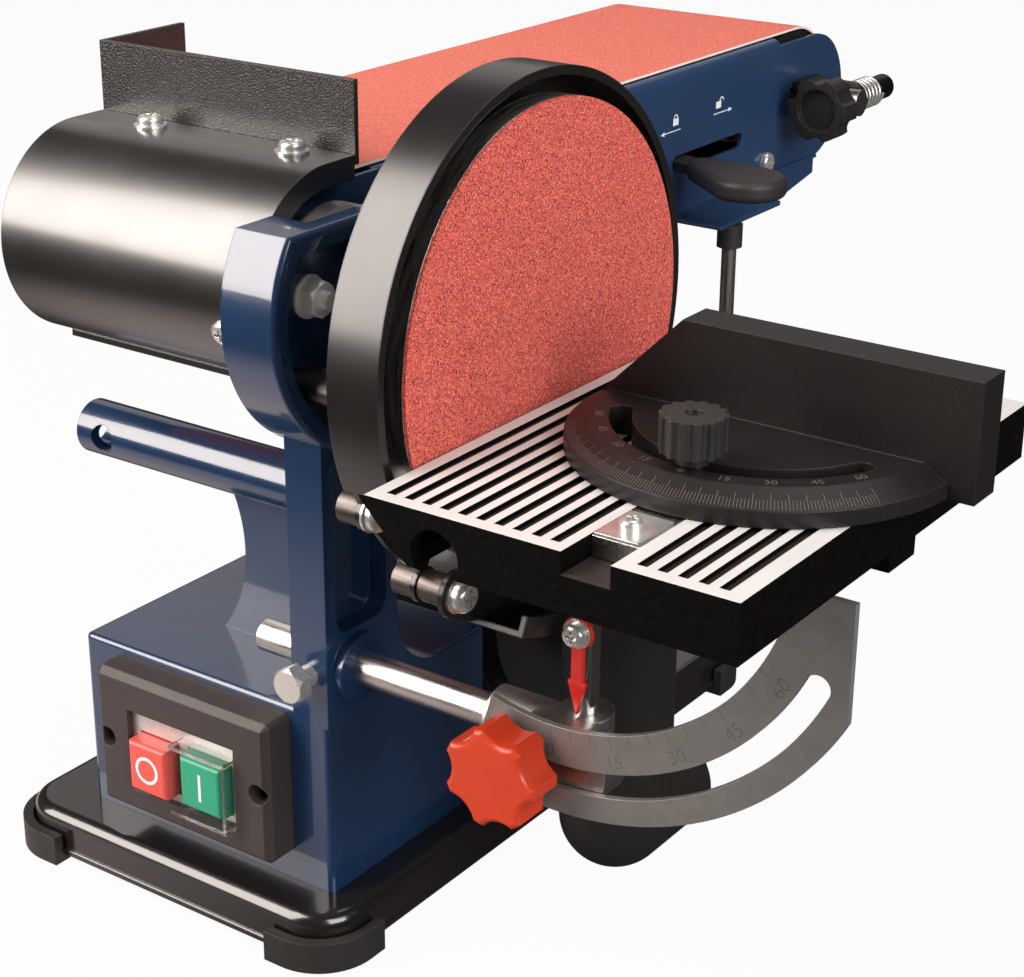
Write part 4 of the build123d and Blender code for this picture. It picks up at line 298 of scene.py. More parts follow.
class EffectShelf:
    """Makes each shared effect once and places it in materials."""

    def __init__(self) -> None:
        """Starts with no effect made."""
        self.made: dict[Effect, bpy.types.NodeTree] = {}
        self.makers: dict[Effect, Callable[[Web, Callable, Callable], None]] = {
            Effect.ROUND_EDGES: self.round_edges,
            Effect.PAINT_SKIN: self.paint_skin,
            Effect.MOULD_GRAIN: self.mould_grain,
            Effect.TOOL_STREAKS: self.tool_streaks,
            Effect.ABRASIVE_GRIT: self.abrasive_grit,
            Effect.ZINC_SPANGLE: self.zinc_spangle,
            Effect.CAST_SKIN: self.cast_skin,
        }

    def place(self, web: Web, effect: Effect, **values: Value) -> bpy.types.Node:
        """Places an effect in a material.

        Args:
            web: the material's nodes.
            effect: which effect.
            values: its inputs by name, with _ for a space.

        Returns:
            The group node, whose outputs are named.
        """
        made = web.node("ShaderNodeGroup")
        made.node_tree = self.tree(effect)
        for key, value in values.items():
            web.feed(made.inputs[key.replace("_", " ").title()], value)
        return made

    def tree(self, effect: Effect) -> bpy.types.NodeTree:
        """The node group of an effect, made on first use.

        Args:
            effect: which effect.

        Returns:
            Its node group.
        """
        if effect not in self.made:
            tree = bpy.data.node_groups.new(effect.value, "ShaderNodeTree")
            web = Web(tree)
            entry, leave = web.node("NodeGroupInput"), web.node("NodeGroupOutput")

            def take(name: str, value: float) -> Socket:
                """Adds a number input and returns its socket inside the group."""
                socket = tree.interface.new_socket(name, in_out="INPUT", socket_type="NodeSocketFloat")
                socket.default_value = value
                return entry.outputs[name]

            def give(name: str, value: Socket, kind: str = "NodeSocketFloat") -> None:
                """Adds an output and links it."""
                tree.interface.new_socket(name, in_out="OUTPUT", socket_type=kind)
                web.feed(leave.inputs[name], value)

            self.makers[effect](web, take, give)
            self.made[effect] = tree
        return self.made[effect]

    @staticmethod
    def round_edges(web: Web, take: Callable, give: Callable) -> None:
        """Softens sharp edges in the normal and masks them.

        Args:
            web: the group's nodes.
            take: adds an input.
            give: adds an output.
        """
        soft = web.node("ShaderNodeBevel", samples=4)
        web.feed(soft.inputs["Radius"], take("Radius", 0.0006))
        plain = web.node("ShaderNodeNewGeometry").outputs["Normal"]
        match = web.vectors("DOT_PRODUCT", soft.outputs[0], plain).outputs["Value"]
        give("Normal", soft.outputs[0], "NodeSocketVector")
        give("Edge", web.spread(match, 0.995, 0.8))

    @staticmethod
    def paint_skin(web: Web, take: Callable, give: Callable) -> None:
        """The slow ripple of sprayed enamel, with uneven tone.

        Args:
            web: the group's nodes.
            take: adds an input.
            give: adds an output.
        """
        place = web.place()
        give("Height", web.noise(place, take("Scale", 300.0), 1.0))
        give("Tone", web.noise(place, 14.0, 3.0, 0.6))
        give("Smear", web.spread(web.noise(place, 45.0, 4.0, 0.7), 0.35, 0.75))

    @staticmethod
    def mould_grain(web: Web, take: Callable, give: Callable) -> None:
        """The fine spark-eroded grain of a moulded part.

        Args:
            web: the group's nodes.
            take: adds an input.
            give: adds an output.
        """
        place, scale = web.place(), take("Scale", 1500.0)
        fine = web.noise(place, scale, 2.0, 0.6)
        pits = web.cells(place, scale).outputs["Distance"]
        give("Height", web.maths("ADD", fine, web.maths("MULTIPLY", pits, 0.6)))
        give("Tone", web.noise(place, 30.0, 3.0, 0.6))
        give("Fine", web.spread(fine, 0.3, 0.7))

    @staticmethod
    def tool_streaks(web: Web, take: Callable, give: Callable) -> None:
        """Streaks that a tool leaves along one direction, set by three stretches.

        Args:
            web: the group's nodes.
            take: adds an input.
            give: adds an output.
        """
        stretch = web.node("ShaderNodeCombineXYZ")
        for name in "XYZ":
            web.feed(stretch.inputs[name], take(f"Along {name}", 1.0))
        place = web.vectors("MULTIPLY", web.place(), stretch.outputs[0]).outputs["Vector"]
        broad = web.noise(place, take("Scale", 900.0), 3.0, 0.65)
        give("Streak", web.spread(broad, 0.3, 0.7))
        give("Height", broad)
        give("Tone", web.noise(web.place(), 35.0, 3.0, 0.6))

    @staticmethod
    def abrasive_grit(web: Web, take: Callable, give: Callable) -> None:
        """Packed grains, with masks for the gaps between them and for a few grains, for painted shade and
        painted glints.

        Args:
            web: the group's nodes.
            take: adds an input.
            give: adds an output.
        """
        place, scale = web.place(), take("Scale", 1100.0)
        grain = web.cells(place, scale)
        clump = web.noise(place, web.maths("MULTIPLY", scale, 0.55), 3.0, 0.7)
        pick = web.node("ShaderNodeSeparateColor")
        web.feed(pick.inputs[0], grain.outputs["Color"])
        single = web.maths("MULTIPLY", pick.outputs[0], 0.45)
        give("Grain", web.maths("ADD", single, web.maths("MULTIPLY", clump, 0.75)))
        give("Bright", web.spread(pick.outputs[1], 0.975, 0.998))
        give("Gap", web.spread(grain.outputs["Distance"], 0.35, 0.75))
        give("Height", web.maths("SUBTRACT", clump, web.maths("MULTIPLY", grain.outputs["Distance"], 0.6)))

    @staticmethod
    def zinc_spangle(web: Web, take: Callable, give: Callable) -> None:
        """The soft crystal patches of a zinc coat.

        Args:
            web: the group's nodes.
            take: adds an input.
            give: adds an output.
        """
        place, scale = web.place(), take("Scale", 260.0)
        patch = web.node("ShaderNodeSeparateColor")
        web.feed(patch.inputs[0], web.cells(place, scale).outputs["Color"])
        give("Patch", patch.outputs[0])
        give("Fine", web.noise(place, web.maths("MULTIPLY", scale, 9.0), 3.0, 0.7))

    @staticmethod
    def cast_skin(web: Web, take: Callable, give: Callable) -> None:
        """The rough skin that sand or a die leaves on a casting.

        Args:
            web: the group's nodes.
            take: adds an input.
            give: adds an output.
        """
        place, scale = web.place(), take("Scale", 420.0)
        coarse = web.noise(place, scale, 4.0, 0.65)
        pits = web.spread(web.cells(place, web.maths("MULTIPLY", scale, 0.8)).outputs["Distance"], 0.1, 0.5)
        give("Height", web.maths("ADD", coarse, web.maths("MULTIPLY", pits, 0.5)))
        give("Tone", web.spread(coarse, 0.3, 0.7))


SHELF = EffectShelf()


def tool_marks(web: Web, scale: float, along: Point) -> bpy.types.Node:
    """Tool streaks of that scale; a low stretch along an axis draws them out along it."""
    x, y, z = along
    return SHELF.place(web, Effect.TOOL_STREAKS, scale=scale, along_x=x, along_y=y, along_z=z)


@dataclass(frozen=True)
class Finish:
    """A base colour and a roughness, how uneven each is as shares of itself, and how strongly a painted
    highlight lightens its edges.
    """

    name: str
    colour: Colour
    roughness: float
    uneven: Span = (1.0, 1.0)
    worn: Span = (1.0, 1.0)
    edge_mm: float = 0.5
    edge_lift: float = 1.0

    def material(self) -> bpy.types.Material:
        """The finish's material, made on first use.

        Returns:
            The material.
        """
        known = bpy.data.materials.get(f"{self.name}_look")
        if known is not None:
            return known
        made = bpy.data.materials.new(f"{self.name}_look")
        made.use_nodes = True
        made.node_tree.nodes.clear()
        made.diffuse_color = (*self.colour, 1.0)
        web = Web(made.node_tree)
        shader = web.node("ShaderNodeBsdfPrincipled")
        end = web.node("ShaderNodeOutputMaterial")
        web.feed(end.inputs["Surface"], shader.outputs[0])
        self.paint(web, shader)
        return made

    def paint(self, web: Web, shader: bpy.types.Node) -> None:
        """Joins the finish's nodes to its shader."""
        raise NotImplementedError

    def shade(self, factor: float) -> Colour:
        """The base colour made lighter or darker by a factor."""
        return tuple(min(1.0, part * factor) for part in self.colour)

    def tone(self, web: Web, share: Socket) -> Socket:
        """The base colour, taken from one end of its unevenness to the other by a share."""
        return web.mix(share, *(self.shade(part) for part in self.uneven))

    def gloss(self, web: Web, share: Socket, low: float = 0.0, high: float = 1.0) -> Socket:
        """The roughness, taken from one end of its wear to the other by a share from low to high."""
        return web.spread(share, low, high, *(self.roughness * part for part in self.worn))

    def edges(self, web: Web) -> bpy.types.Node:
        """The finish's softened edges, with outputs Normal and Edge."""
        return SHELF.place(web, Effect.ROUND_EDGES, radius=self.edge_mm * MM)

    def cover(self, web: Web, shader: bpy.types.Node, tone: Socket, gloss: Socket, height: Socket,
              depth_mm: float) -> None:
        """Joins uneven tone, a painted highlight on the edges, gloss and a bump to the shader.

        Args:
            web: the material's nodes.
            shader: its shader.
            tone: what makes the colour uneven.
            gloss: the roughness.
            height: what stands up, from 0 to 1.
            depth_mm: how far it stands up.
        """
        edges = self.edges(web)
        # Painted highlight: the edge mask lightens the colour by edge_lift where the softened normal turns
        # away from the face.
        body = web.mix(edges.outputs["Edge"], self.tone(web, tone), self.shade(self.edge_lift))
        web.feed(shader.inputs["Base Color"], body)
        web.feed(shader.inputs["Roughness"], gloss)
        web.feed(shader.inputs["Normal"], self.bump(web, height, depth_mm, edges.outputs["Normal"]))

    @staticmethod
    def bump(web: Web, height: Socket, depth_mm: float, normal: Socket | None = None) -> Socket:
        """A bump of that depth over a normal.

        Args:
            web: the material's nodes.
            height: what stands up, from 0 to 1.
            depth_mm: how far it stands up.
            normal: the normal under it, if not the surface's own.

        Returns:
            The bumped normal.
        """
        made = web.node("ShaderNodeBump")
        made.inputs["Distance"].default_value = depth_mm * MM
        web.feed(made.inputs["Height"], height)
        if normal is not None:
            web.feed(made.inputs["Normal"], normal)
        return made.outputs[0]


@dataclass(frozen=True)
class Enamel(Finish):
    """Sprayed paint on metal: a slow ripple, softened edges lightened by a painted highlight, and a clear
    coat.
    """

    uneven: Span = (0.9, 1.1)
    worn: Span = (0.92, 1.15)
    edge_mm: float = 0.8
    edge_lift: float = 1.35
    coat: float = 0.5
    coat_rough: float = 0.06
    ripple_scale: float = 260.0
    ripple_mm: float = 0.03
    specular: float = 0.5

    def paint(self, web: Web, shader: bpy.types.Node) -> None:
        """Joins ripple, edges and smears to the shader.

        Args:
            web: the material's nodes.
            shader: its shader.
        """
        skin = SHELF.place(web, Effect.PAINT_SKIN, scale=self.ripple_scale)
        gloss = self.gloss(web, skin.outputs["Smear"])
        self.cover(web, shader, skin.outputs["Tone"], gloss, skin.outputs["Height"], self.ripple_mm)
        shader.inputs["Coat Weight"].default_value = self.coat
        shader.inputs["Coat Roughness"].default_value = self.coat_rough
        shader.inputs["Specular IOR Level"].default_value = self.specular


@dataclass(frozen=True)
class Moulded(Finish):
    """Moulded plastic or rubber: a fine grain, softened edges lightened by a painted highlight, and a little
    uneven tone.
    """

    uneven: Span = (0.85, 1.15)
    worn: Span = (0.88, 1.12)
    edge_mm: float = 0.7
    edge_lift: float = 1.5
    grain_scale: float = 1500.0
    grain_mm: float = 0.03
    specular: float = 0.4

    def paint(self, web: Web, shader: bpy.types.Node) -> None:
        """Joins grain and edges to the shader.

        Args:
            web: the material's nodes.
            shader: its shader.
        """
        grain = SHELF.place(web, Effect.MOULD_GRAIN, scale=self.grain_scale)
        gloss = self.gloss(web, grain.outputs["Fine"])
        self.cover(web, shader, grain.outputs["Tone"], gloss, grain.outputs["Height"], self.grain_mm)
        shader.inputs["Specular IOR Level"].default_value = self.specular


@dataclass(frozen=True)
class Machined(Finish):
    """Bare metal with the streaks that its tool left."""

    uneven: Span = (0.86, 1.08)
    worn: Span = (0.75, 1.3)
    edge_mm: float = 0.4
    edge_lift: float = 1.2
    along: Point = (1.0, 1.0, 1.0)
    streak_scale: float = 900.0
    streak_mm: float = 0.01
    metallic: float = 1.0

    def paint(self, web: Web, shader: bpy.types.Node) -> None:
        """Joins streaks and edges to the shader.

        Args:
            web: the material's nodes.
            shader: its shader.
        """
        streaks = tool_marks(web, self.streak_scale, self.along)
        gloss = self.gloss(web, streaks.outputs["Streak"])
        self.cover(web, shader, streaks.outputs["Tone"], gloss, streaks.outputs["Height"], self.streak_mm)
        shader.inputs["Metallic"].default_value = self.metallic


@dataclass(frozen=True)
class Galvanised(Finish):
    """Zinc-coated sheet with soft crystal patches."""

    uneven: Span = (0.93, 1.05)
    worn: Span = (0.8, 1.2)
    edge_mm: float = 0.3
    edge_lift: float = 1.25
    spangle_scale: float = 230.0
    spangle_mm: float = 0.015
    metallic: float = 0.6

    def paint(self, web: Web, shader: bpy.types.Node) -> None:
        """Joins the spangle to the shader.

        Args:
            web: the material's nodes.
            shader: its shader.
        """
        zinc = SHELF.place(web, Effect.ZINC_SPANGLE, scale=self.spangle_scale)
        gloss = self.gloss(web, zinc.outputs["Fine"], 0.25, 0.75)
        self.cover(web, shader, zinc.outputs["Patch"], gloss, zinc.outputs["Fine"], self.spangle_mm)
        shader.inputs["Metallic"].default_value = self.metallic


@dataclass(frozen=True)
class RawCasting(Finish):
    """Bare metal with its casting skin."""

    uneven: Span = (0.75, 1.15)
    worn: Span = (1.15, 0.85)
    edge_mm: float = 0.6
    edge_lift: float = 1.4
    skin_scale: float = 600.0
    skin_mm: float = 0.06

    def paint(self, web: Web, shader: bpy.types.Node) -> None:
        """Joins the casting skin to the shader.

        Args:
            web: the material's nodes.
            shader: its shader.
        """
        skin = SHELF.place(web, Effect.CAST_SKIN, scale=self.skin_scale)
        gloss = self.gloss(web, skin.outputs["Tone"])
        self.cover(web, shader, skin.outputs["Tone"], gloss, skin.outputs["Height"], self.skin_mm)
        shader.inputs["Metallic"].default_value = 1.0


@dataclass(frozen=True)
class Abrasive(Finish):
    """Red abrasive grit on cloth, with the cloth's pale cut edge where it shows."""

    grit_scale: float = 2300.0
    contrast: float = 1.0
    sparkle: float = 0.4
    grit_mm: float = 0.09
    gap_shade: float = 0.55
    bright_grain: Colour = (0.95, 0.60, 0.52)
    bright_rough: float = 0.3
    cut_edge: bool = False
    cloth: Colour = (0.78, 0.70, 0.64)
    specular: float = 0.35

    def paint(self, web: Web, shader: bpy.types.Node) -> None:
        """Joins grit, painted shade in the gaps, painted glints and the cut edge to the shader.

        Args:
            web: the material's nodes.
            shader: its shader.
        """
        grit = SHELF.place(web, Effect.ABRASIVE_GRIT, scale=self.grit_scale)
        grain = web.spread(grit.outputs["Grain"], 0.35, 0.85)
        body = web.mix(grain, self.shade(1 - self.contrast), self.shade(1 + self.contrast))
        # Painted shade: the gaps between grains are darkened.
        gap = web.maths("MULTIPLY", grit.outputs["Gap"], self.contrast)
        body = web.mix(gap, body, self.shade(self.gap_shade))
        # Painted glints: a few grains are lightened towards a pale colour.
        bright = web.maths("MULTIPLY", grit.outputs["Bright"], self.sparkle)
        body = web.mix(bright, body, self.bright_grain)
        if self.cut_edge:
            side = web.maths("ABSOLUTE", web.split(web.facing()).outputs["X"])
            body = web.mix(web.spread(side, *SQUARE_ON), body, self.cloth)
        web.feed(shader.inputs["Base Color"], body)
        gloss = web.spread(grit.outputs["Bright"], 0.0, 1.0, self.roughness, self.bright_rough)
        web.feed(shader.inputs["Roughness"], gloss)
        web.feed(shader.inputs["Normal"], self.bump(web, grit.outputs["Height"], self.grit_mm))
        shader.inputs["Specular IOR Level"].default_value = self.specular


@dataclass(frozen=True)
class TableAlloy(Finish):
    """A black cast table whose upward ribs are milled bright; its other upward faces, the groove floors, are
    lightened with painted light from above.
    """

    uneven: Span = (0.7, 1.3)
    edge_lift: float = 2.2
    milled: Colour = (0.76, 0.745, 0.73)
    milled_dull: float = 0.9
    milled_rough: Span = (0.4, 0.55)
    milled_metallic: float = 0.35
    milled_relief: float = 0.06
    grooved: Colour = (0.04, 0.031, 0.028)
    top_mm: float = -22.0
    under_top_mm: Span = (0.6, 0.2)
    skin_scale: float = 380.0
    skin_mm: float = 0.2
    streak_scale: float = 1100.0
    along: Point = (1.0, 0.04, 1.0)
    specular: float = 0.08

    def paint(self, web: Web, shader: bpy.types.Node) -> None:
        """Joins the black skin and the milled ribs to the shader.

        Args:
            web: the material's nodes.
            shader: its shader.
        """
        skin = SHELF.place(web, Effect.CAST_SKIN, scale=self.skin_scale)
        streaks = tool_marks(web, self.streak_scale, self.along)
        edges = self.edges(web)
        level = at(0.0, 0.0, self.top_mm).z
        rise = web.split(web.place()).outputs["Z"]
        high = web.spread(rise, *(level - step * MM for step in self.under_top_mm))
        upward = web.spread(web.split(web.facing()).outputs["Z"], *SQUARE_ON)
        milled = web.maths("MULTIPLY", upward, high)
        black = self.tone(web, skin.outputs["Tone"])
        # Painted highlight on the table's edges.
        black = web.mix(edges.outputs["Edge"], black, self.shade(self.edge_lift))
        # Painted light: upward faces that are not milled take a lighter colour, as if lit from above.
        black = web.mix(upward, black, self.grooved)
        dull = tuple(self.milled_dull * part for part in self.milled)
        bright = web.mix(streaks.outputs["Tone"], dull, self.milled)
        web.feed(shader.inputs["Base Color"], web.mix(milled, black, bright))
        web.feed(shader.inputs["Metallic"], web.maths("MULTIPLY", milled, self.milled_metallic))
        shiny = web.spread(streaks.outputs["Streak"], 0.0, 1.0, *self.milled_rough)
        web.feed(shader.inputs["Roughness"], web.blend(milled, self.roughness, shiny))
        rough = web.maths("MULTIPLY", skin.outputs["Height"], web.maths("SUBTRACT", 1.0, milled))
        fine = web.maths("MULTIPLY", streaks.outputs["Height"], milled)
        height = web.maths("ADD", rough, web.maths("MULTIPLY", fine, self.milled_relief))
        web.feed(shader.inputs["Normal"], self.bump(web, height, self.skin_mm, edges.outputs["Normal"]))
        shader.inputs["Specular IOR Level"].default_value = self.specular


@dataclass(frozen=True)
class ClearPlastic(Finish):
    """Clear moulded plastic with a painted white highlight on its edges."""

    worn: Span = (0.6, 1.6)
    grain_scale: float = 300.0
    ior: float = 1.46

    def paint(self, web: Web, shader: bpy.types.Node) -> None:
        """Joins the grain and edges to a clear shader.

        Args:
            web: the material's nodes.
            shader: its shader.
        """
        grain = SHELF.place(web, Effect.MOULD_GRAIN, scale=self.grain_scale)
        edges = self.edges(web)
        # Painted highlight: the edges are mixed towards white.
        web.feed(shader.inputs["Base Color"], web.mix(edges.outputs["Edge"], self.colour, WHITE))
        web.feed(shader.inputs["Roughness"], self.gloss(web, grain.outputs["Tone"], 0.2, 0.8))
        web.feed(shader.inputs["Normal"], edges.outputs["Normal"])
        shader.inputs["Transmission Weight"].default_value = 1.0
        shader.inputs["IOR"].default_value = self.ior


@dataclass(frozen=True)
class Ink(Finish):
    """Printed marks, and engraved marks whose colour is painted shade on the quadrant and painted highlight
    on the miter gauge; slightly uneven.
    """

    uneven: Span = (1.0, 0.85)
    worn: Span = (0.85, 1.15)
    skin_scale: float = 700.0
    skin_mm: float = 0.01

    def paint(self, web: Web, shader: bpy.types.Node) -> None:
        """Joins uneven tone to the shader.

        Args:
            web: the material's nodes.
            shader: its shader.
        """
        skin = SHELF.place(web, Effect.PAINT_SKIN, scale=self.skin_scale)
        web.feed(shader.inputs["Base Color"], self.tone(web, skin.outputs["Smear"]))
        web.feed(shader.inputs["Roughness"], self.gloss(web, skin.outputs["Tone"], 0.2, 0.8))
        web.feed(shader.inputs["Normal"], self.bump(web, skin.outputs["Height"], self.skin_mm))


NAVY_CAST = Enamel("navy_casting", (0.0085, 0.029, 0.078), 0.22, coat=0.95, coat_rough=0.05, ripple_mm=0.04)
NAVY_SHEET = Enamel("navy_sheet", (0.016, 0.040, 0.098), 0.34, coat=0.25)
BLACK_SHEET = Enamel("black_sheet", (0.008, 0.0068, 0.0065), 0.34, coat=1.0, coat_rough=0.2, ripple_mm=0.006,
                     edge_lift=2.5, specular=1.0)
BLACK_WRINKLE = Enamel("black_wrinkle", (0.018, 0.0155, 0.015), 0.36, coat=0.45, coat_rough=0.2,
                       ripple_scale=1400.0, ripple_mm=0.42, edge_lift=1.8)
BLACK_BASE = Enamel("black_base", (0.009, 0.0078, 0.0074), 0.22, coat=0.8, ripple_mm=0.05, edge_lift=2.2)
BLACK_MOTOR = Enamel("black_motor", (0.014, 0.0135, 0.0135), 0.38, coat=0.1, ripple_mm=0.06, edge_lift=1.8)
GUARD_PLASTIC = Enamel("guard_plastic", (0.008, 0.0068, 0.0065), 0.3, coat=0.55, coat_rough=0.22,
                       ripple_mm=0.01, edge_lift=2.2)
RED_PAINT = Enamel("red_pointer", (0.56, 0.018, 0.014), 0.3, coat=0.3, ripple_mm=0.02, edge_lift=1.1)
BLACK_PLASTIC = Moulded("black_plastic", (0.016, 0.0145, 0.014), 0.36, grain_mm=0.012)
HOOD_PLASTIC = Moulded("hood_plastic", (0.014, 0.013, 0.0125), 0.3, grain_mm=0.01)
SWITCH_PLASTIC = Moulded("switch_plastic", (0.040, 0.0305, 0.029), 0.46, grain_mm=0.035, edge_lift=1.9)
MITER_PLASTIC = Moulded("miter_plastic", (0.010, 0.0083, 0.008), 0.4, edge_lift=2.4, specular=0.3)
LEVER_PLASTIC = Moulded("lever_plastic", (0.022, 0.019, 0.018), 0.5)
KNOB_PLASTIC = Moulded("knob_plastic", (0.017, 0.015, 0.0145), 0.4, grain_mm=0.02)
FOOT_RUBBER = Moulded("foot_rubber", (0.020, 0.018, 0.017), 0.55, grain_mm=0.05)
BELT_RUBBER = Moulded("belt_rubber", (0.012, 0.012, 0.012), 0.6, grain_mm=0.05)
RED_KNOB = Moulded("red_knob", (0.45, 0.036, 0.012), 0.3, grain_mm=0.012, edge_lift=1.12)
RED_BUTTON = Moulded("red_button", (0.62, 0.075, 0.06), 0.3, grain_mm=0.006, edge_lift=1.2, specular=0.5)
GREEN_BUTTON = Moulded("green_button", (0.015, 0.27, 0.15), 0.3, grain_mm=0.006, edge_lift=1.2, specular=0.5)
ZINC = Machined("zinc_plate", (0.70, 0.69, 0.66), 0.26, streak_scale=500.0, metallic=0.75)
BRIGHT_ZINC = Machined("bright_zinc", (0.88, 0.87, 0.84), 0.2, streak_scale=500.0, metallic=0.35)
GROUND = Machined("ground_steel", (0.56, 0.56, 0.56), 0.26, along=(0.05, 1.0, 1.0))
GROUND_BAR = Machined("ground_bar", (0.60, 0.60, 0.59), 0.28, along=(1.0, 0.05, 1.0))
CHROME = Machined("chrome", (0.72, 0.69, 0.66), 0.32, along=(0.05, 1.0, 1.0), streak_mm=0.002)
CHROME_POST = Machined("chrome_post", (0.74, 0.73, 0.70), 0.12, along=(1.0, 1.0, 0.05), streak_mm=0.002)
SATIN_ROD = Machined("satin_rod", (0.30, 0.285, 0.265), 0.42, along=(1.0, 1.0, 0.05), streak_mm=0.004)
SATIN_SLEEVE = Machined("satin_sleeve", (0.15, 0.13, 0.122), 0.44, along=(0.05, 1.0, 1.0), streak_mm=0.004)
BLACK_STEEL = Machined("black_steel", (0.055, 0.047, 0.043), 0.34, along=(1.0, 0.1, 1.0))
TURNED = Machined("turned_alloy", (0.62, 0.60, 0.57), 0.32, along=(1.0, 0.08, 0.08))
CAST_ZINC = RawCasting("cast_zinc", (0.52, 0.50, 0.47), 0.42)
GALVANISED = Galvanised("galvanised_plate", (0.27, 0.256, 0.245), 0.38)
CURSOR_PLATE = Galvanised("cursor_plate", (0.74, 0.73, 0.70), 0.24, spangle_scale=500.0, metallic=0.8)
SILVER_PLATE = Galvanised("silver_plate", (0.62, 0.57, 0.55), 0.36, spangle_scale=900.0)
DISC_GRIT = Abrasive("disc_grit", (0.95, 0.112, 0.083), 0.85)
BELT_GRIT = Abrasive("belt_grit", (0.64, 0.155, 0.112), 0.85, grit_scale=2600.0, contrast=0.4, sparkle=0.12,
                     cut_edge=True)
TABLE_ALLOY = TableAlloy("table_alloy", (0.0022, 0.0021, 0.0019), 0.5)
CLEAR = ClearPlastic("clear_plastic", (0.93, 0.97, 0.95), 0.05)
WHITE_INK = Ink("white_ink", (0.80, 0.80, 0.79), 0.45)
# Painted shade: the quadrant's engraved marks are darker than the plate, standing for shade in the cut.
SCALE_CUT_SHADE = Ink("scale_cut_shade", (0.095, 0.088, 0.083), 0.6)
# Painted highlight: the miter gauge's engraved marks are lighter than the head, standing for light caught on
# the cut.
MITER_CUT_HIGHLIGHT = Ink("miter_cut_highlight", (0.085, 0.07, 0.066), 0.5)


class Marks:
    """Collects thin closed slabs, such as tick marks, into one mesh."""

    def __init__(self, name: str, thick_mm: float = 0.06) -> None:
        """Starts an empty mesh.

        Args:
            name: the piece's name.
            thick_mm: how thick each mark is; half of it stands proud.
        """
        self.name = name
        self.half = thick_mm * MM / 2
        self.points: list[Vector] = []
        self.faces: list[tuple[int, ...]] = []

    def slab(self, outline: Sequence[Vector], normal: Vector) -> None:
        """Adds one slab.

        Args:
            outline: corners in order round the normal, in metres.
            normal: the way the mark faces.
        """
        count, start = len(outline), len(self.points)
        lift = normal.normalized() * self.half
        self.points += [p + lift for p in outline] + [p - lift for p in outline]
        self.faces.append(tuple(start + i for i in range(count)))
        self.faces.append(tuple(start + count + i for i in reversed(range(count))))
        for i in range(count):
            j = (i + 1) % count
            self.faces.append((start + i, start + count + i, start + count + j, start + j))

    def bar(self, first: Vector, last: Vector, width_mm: float, normal: Vector) -> None:
        """Adds a straight mark between two points.

        Args:
            first: one end, in metres.
            last: the other end.
            width_mm: how wide it is.
            normal: the way the mark faces.
        """
        side = normal.cross(last - first).normalized() * (width_mm * MM / 2)
        self.slab([first - side, last - side, last + side, first + side], normal)

    def ring(self, middle: Vector, across: Vector, up: Vector, radius_mm: float, width_mm: float,
             sweep: float = 360.0, steps: int = 48) -> None:
        """Adds a ring or an arc.

        Args:
            middle: its centre.
            across: unit vector at angle zero.
            up: unit vector at a right angle to across.
            radius_mm: radius of its middle line.
            width_mm: width of the line.
            sweep: how far it goes from angle zero, in degrees.
            steps: how many straight pieces it has.
        """
        angles = [math.radians(sweep * i / steps) for i in range(steps + 1)]
        spokes = [across * math.cos(a) + up * math.sin(a) for a in angles]
        inner, outer = (radius_mm - width_mm / 2) * MM, (radius_mm + width_mm / 2) * MM
        whole = sweep >= 360.0
        count, first = (steps if whole else steps + 1), len(self.points)
        lift = across.cross(up).normalized() * self.half
        for spoke in spokes[:count]:
            for reach, side in ((inner, 1), (outer, 1), (outer, -1), (inner, -1)):
                self.points.append(middle + spoke * reach + lift * side)
        for i in range(count if whole else count - 1):
            here, there = first + 4 * i, first + 4 * ((i + 1) % count)
            for k in range(4):
                n = (k + 1) % 4
                self.faces.append((here + k, here + n, there + n, there + k))
        if not whole:
            last = first + 4 * (count - 1)
            self.faces.append((first, first + 3, first + 2, first + 1))
            self.faces.append((last, last + 1, last + 2, last + 3))

    def make(self, finish: Finish, body: str) -> bpy.types.Object:
        """Makes the piece and rides it on its body.

        Args:
            finish: the marks' finish.
            body: the CAD body that carries them.

        Returns:
            The new piece.
        """
        mesh = bpy.data.meshes.new(self.name)
        mesh.from_pydata([tuple(p) for p in self.points], [], self.faces)
        mesh.validate()
        return settle(bpy.data.objects.new(self.name, mesh), finish, body)


def settle(piece: bpy.types.Object, finish: Finish, body: str) -> bpy.types.Object:
    """Links a new piece, gives it its finish, and rides it on its body.

    Args:
        piece: the new object, already in place.
        finish: its finish.
        body: the CAD body that carries it.

    Returns:
        The piece.
    """
    bpy.context.scene.collection.objects.link(piece)
    piece.data.materials.append(finish.material())
    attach(piece, body)
    LOG.info("made %s on %s", piece.name, body)
    return piece


@dataclass(frozen=True)
class Lettering:
    """Plain numerals of one height, as thin closed solids."""

    height_mm: float
    thick_mm: float = 0.06
    digit_share: float = 0.7
    curve_steps: int = 6

    def numeral(self, text: str, middle: Vector, across: Vector, up: Vector) -> bpy.types.Mesh:
        """Makes the mesh of one numeral.

        Args:
            text: the digits.
            middle: the middle of the numeral.
            across: unit vector along the digits.
            up: unit vector up the digits.

        Returns:
            A mesh in the row frame.
        """
        curve = bpy.data.curves.new("numeral", "FONT")
        curve.body = text
        curve.size = self.height_mm * MM / self.digit_share
        curve.align_x, curve.align_y = "CENTER", "CENTER"
        curve.extrude = self.thick_mm * MM / 2
        curve.resolution_u = self.curve_steps
        stand = bpy.data.objects.new("numeral", curve)
        bpy.context.scene.collection.objects.link(stand)
        bpy.context.view_layer.update()
        mesh = bpy.data.meshes.new_from_object(stand.evaluated_get(bpy.context.evaluated_depsgraph_get()))
        bpy.data.objects.remove(stand)
        bpy.data.curves.remove(curve)
        turn = Matrix((across, up, across.cross(up))).transposed().to_4x4()
        mesh.transform(Matrix.Translation(middle) @ turn)
        return mesh


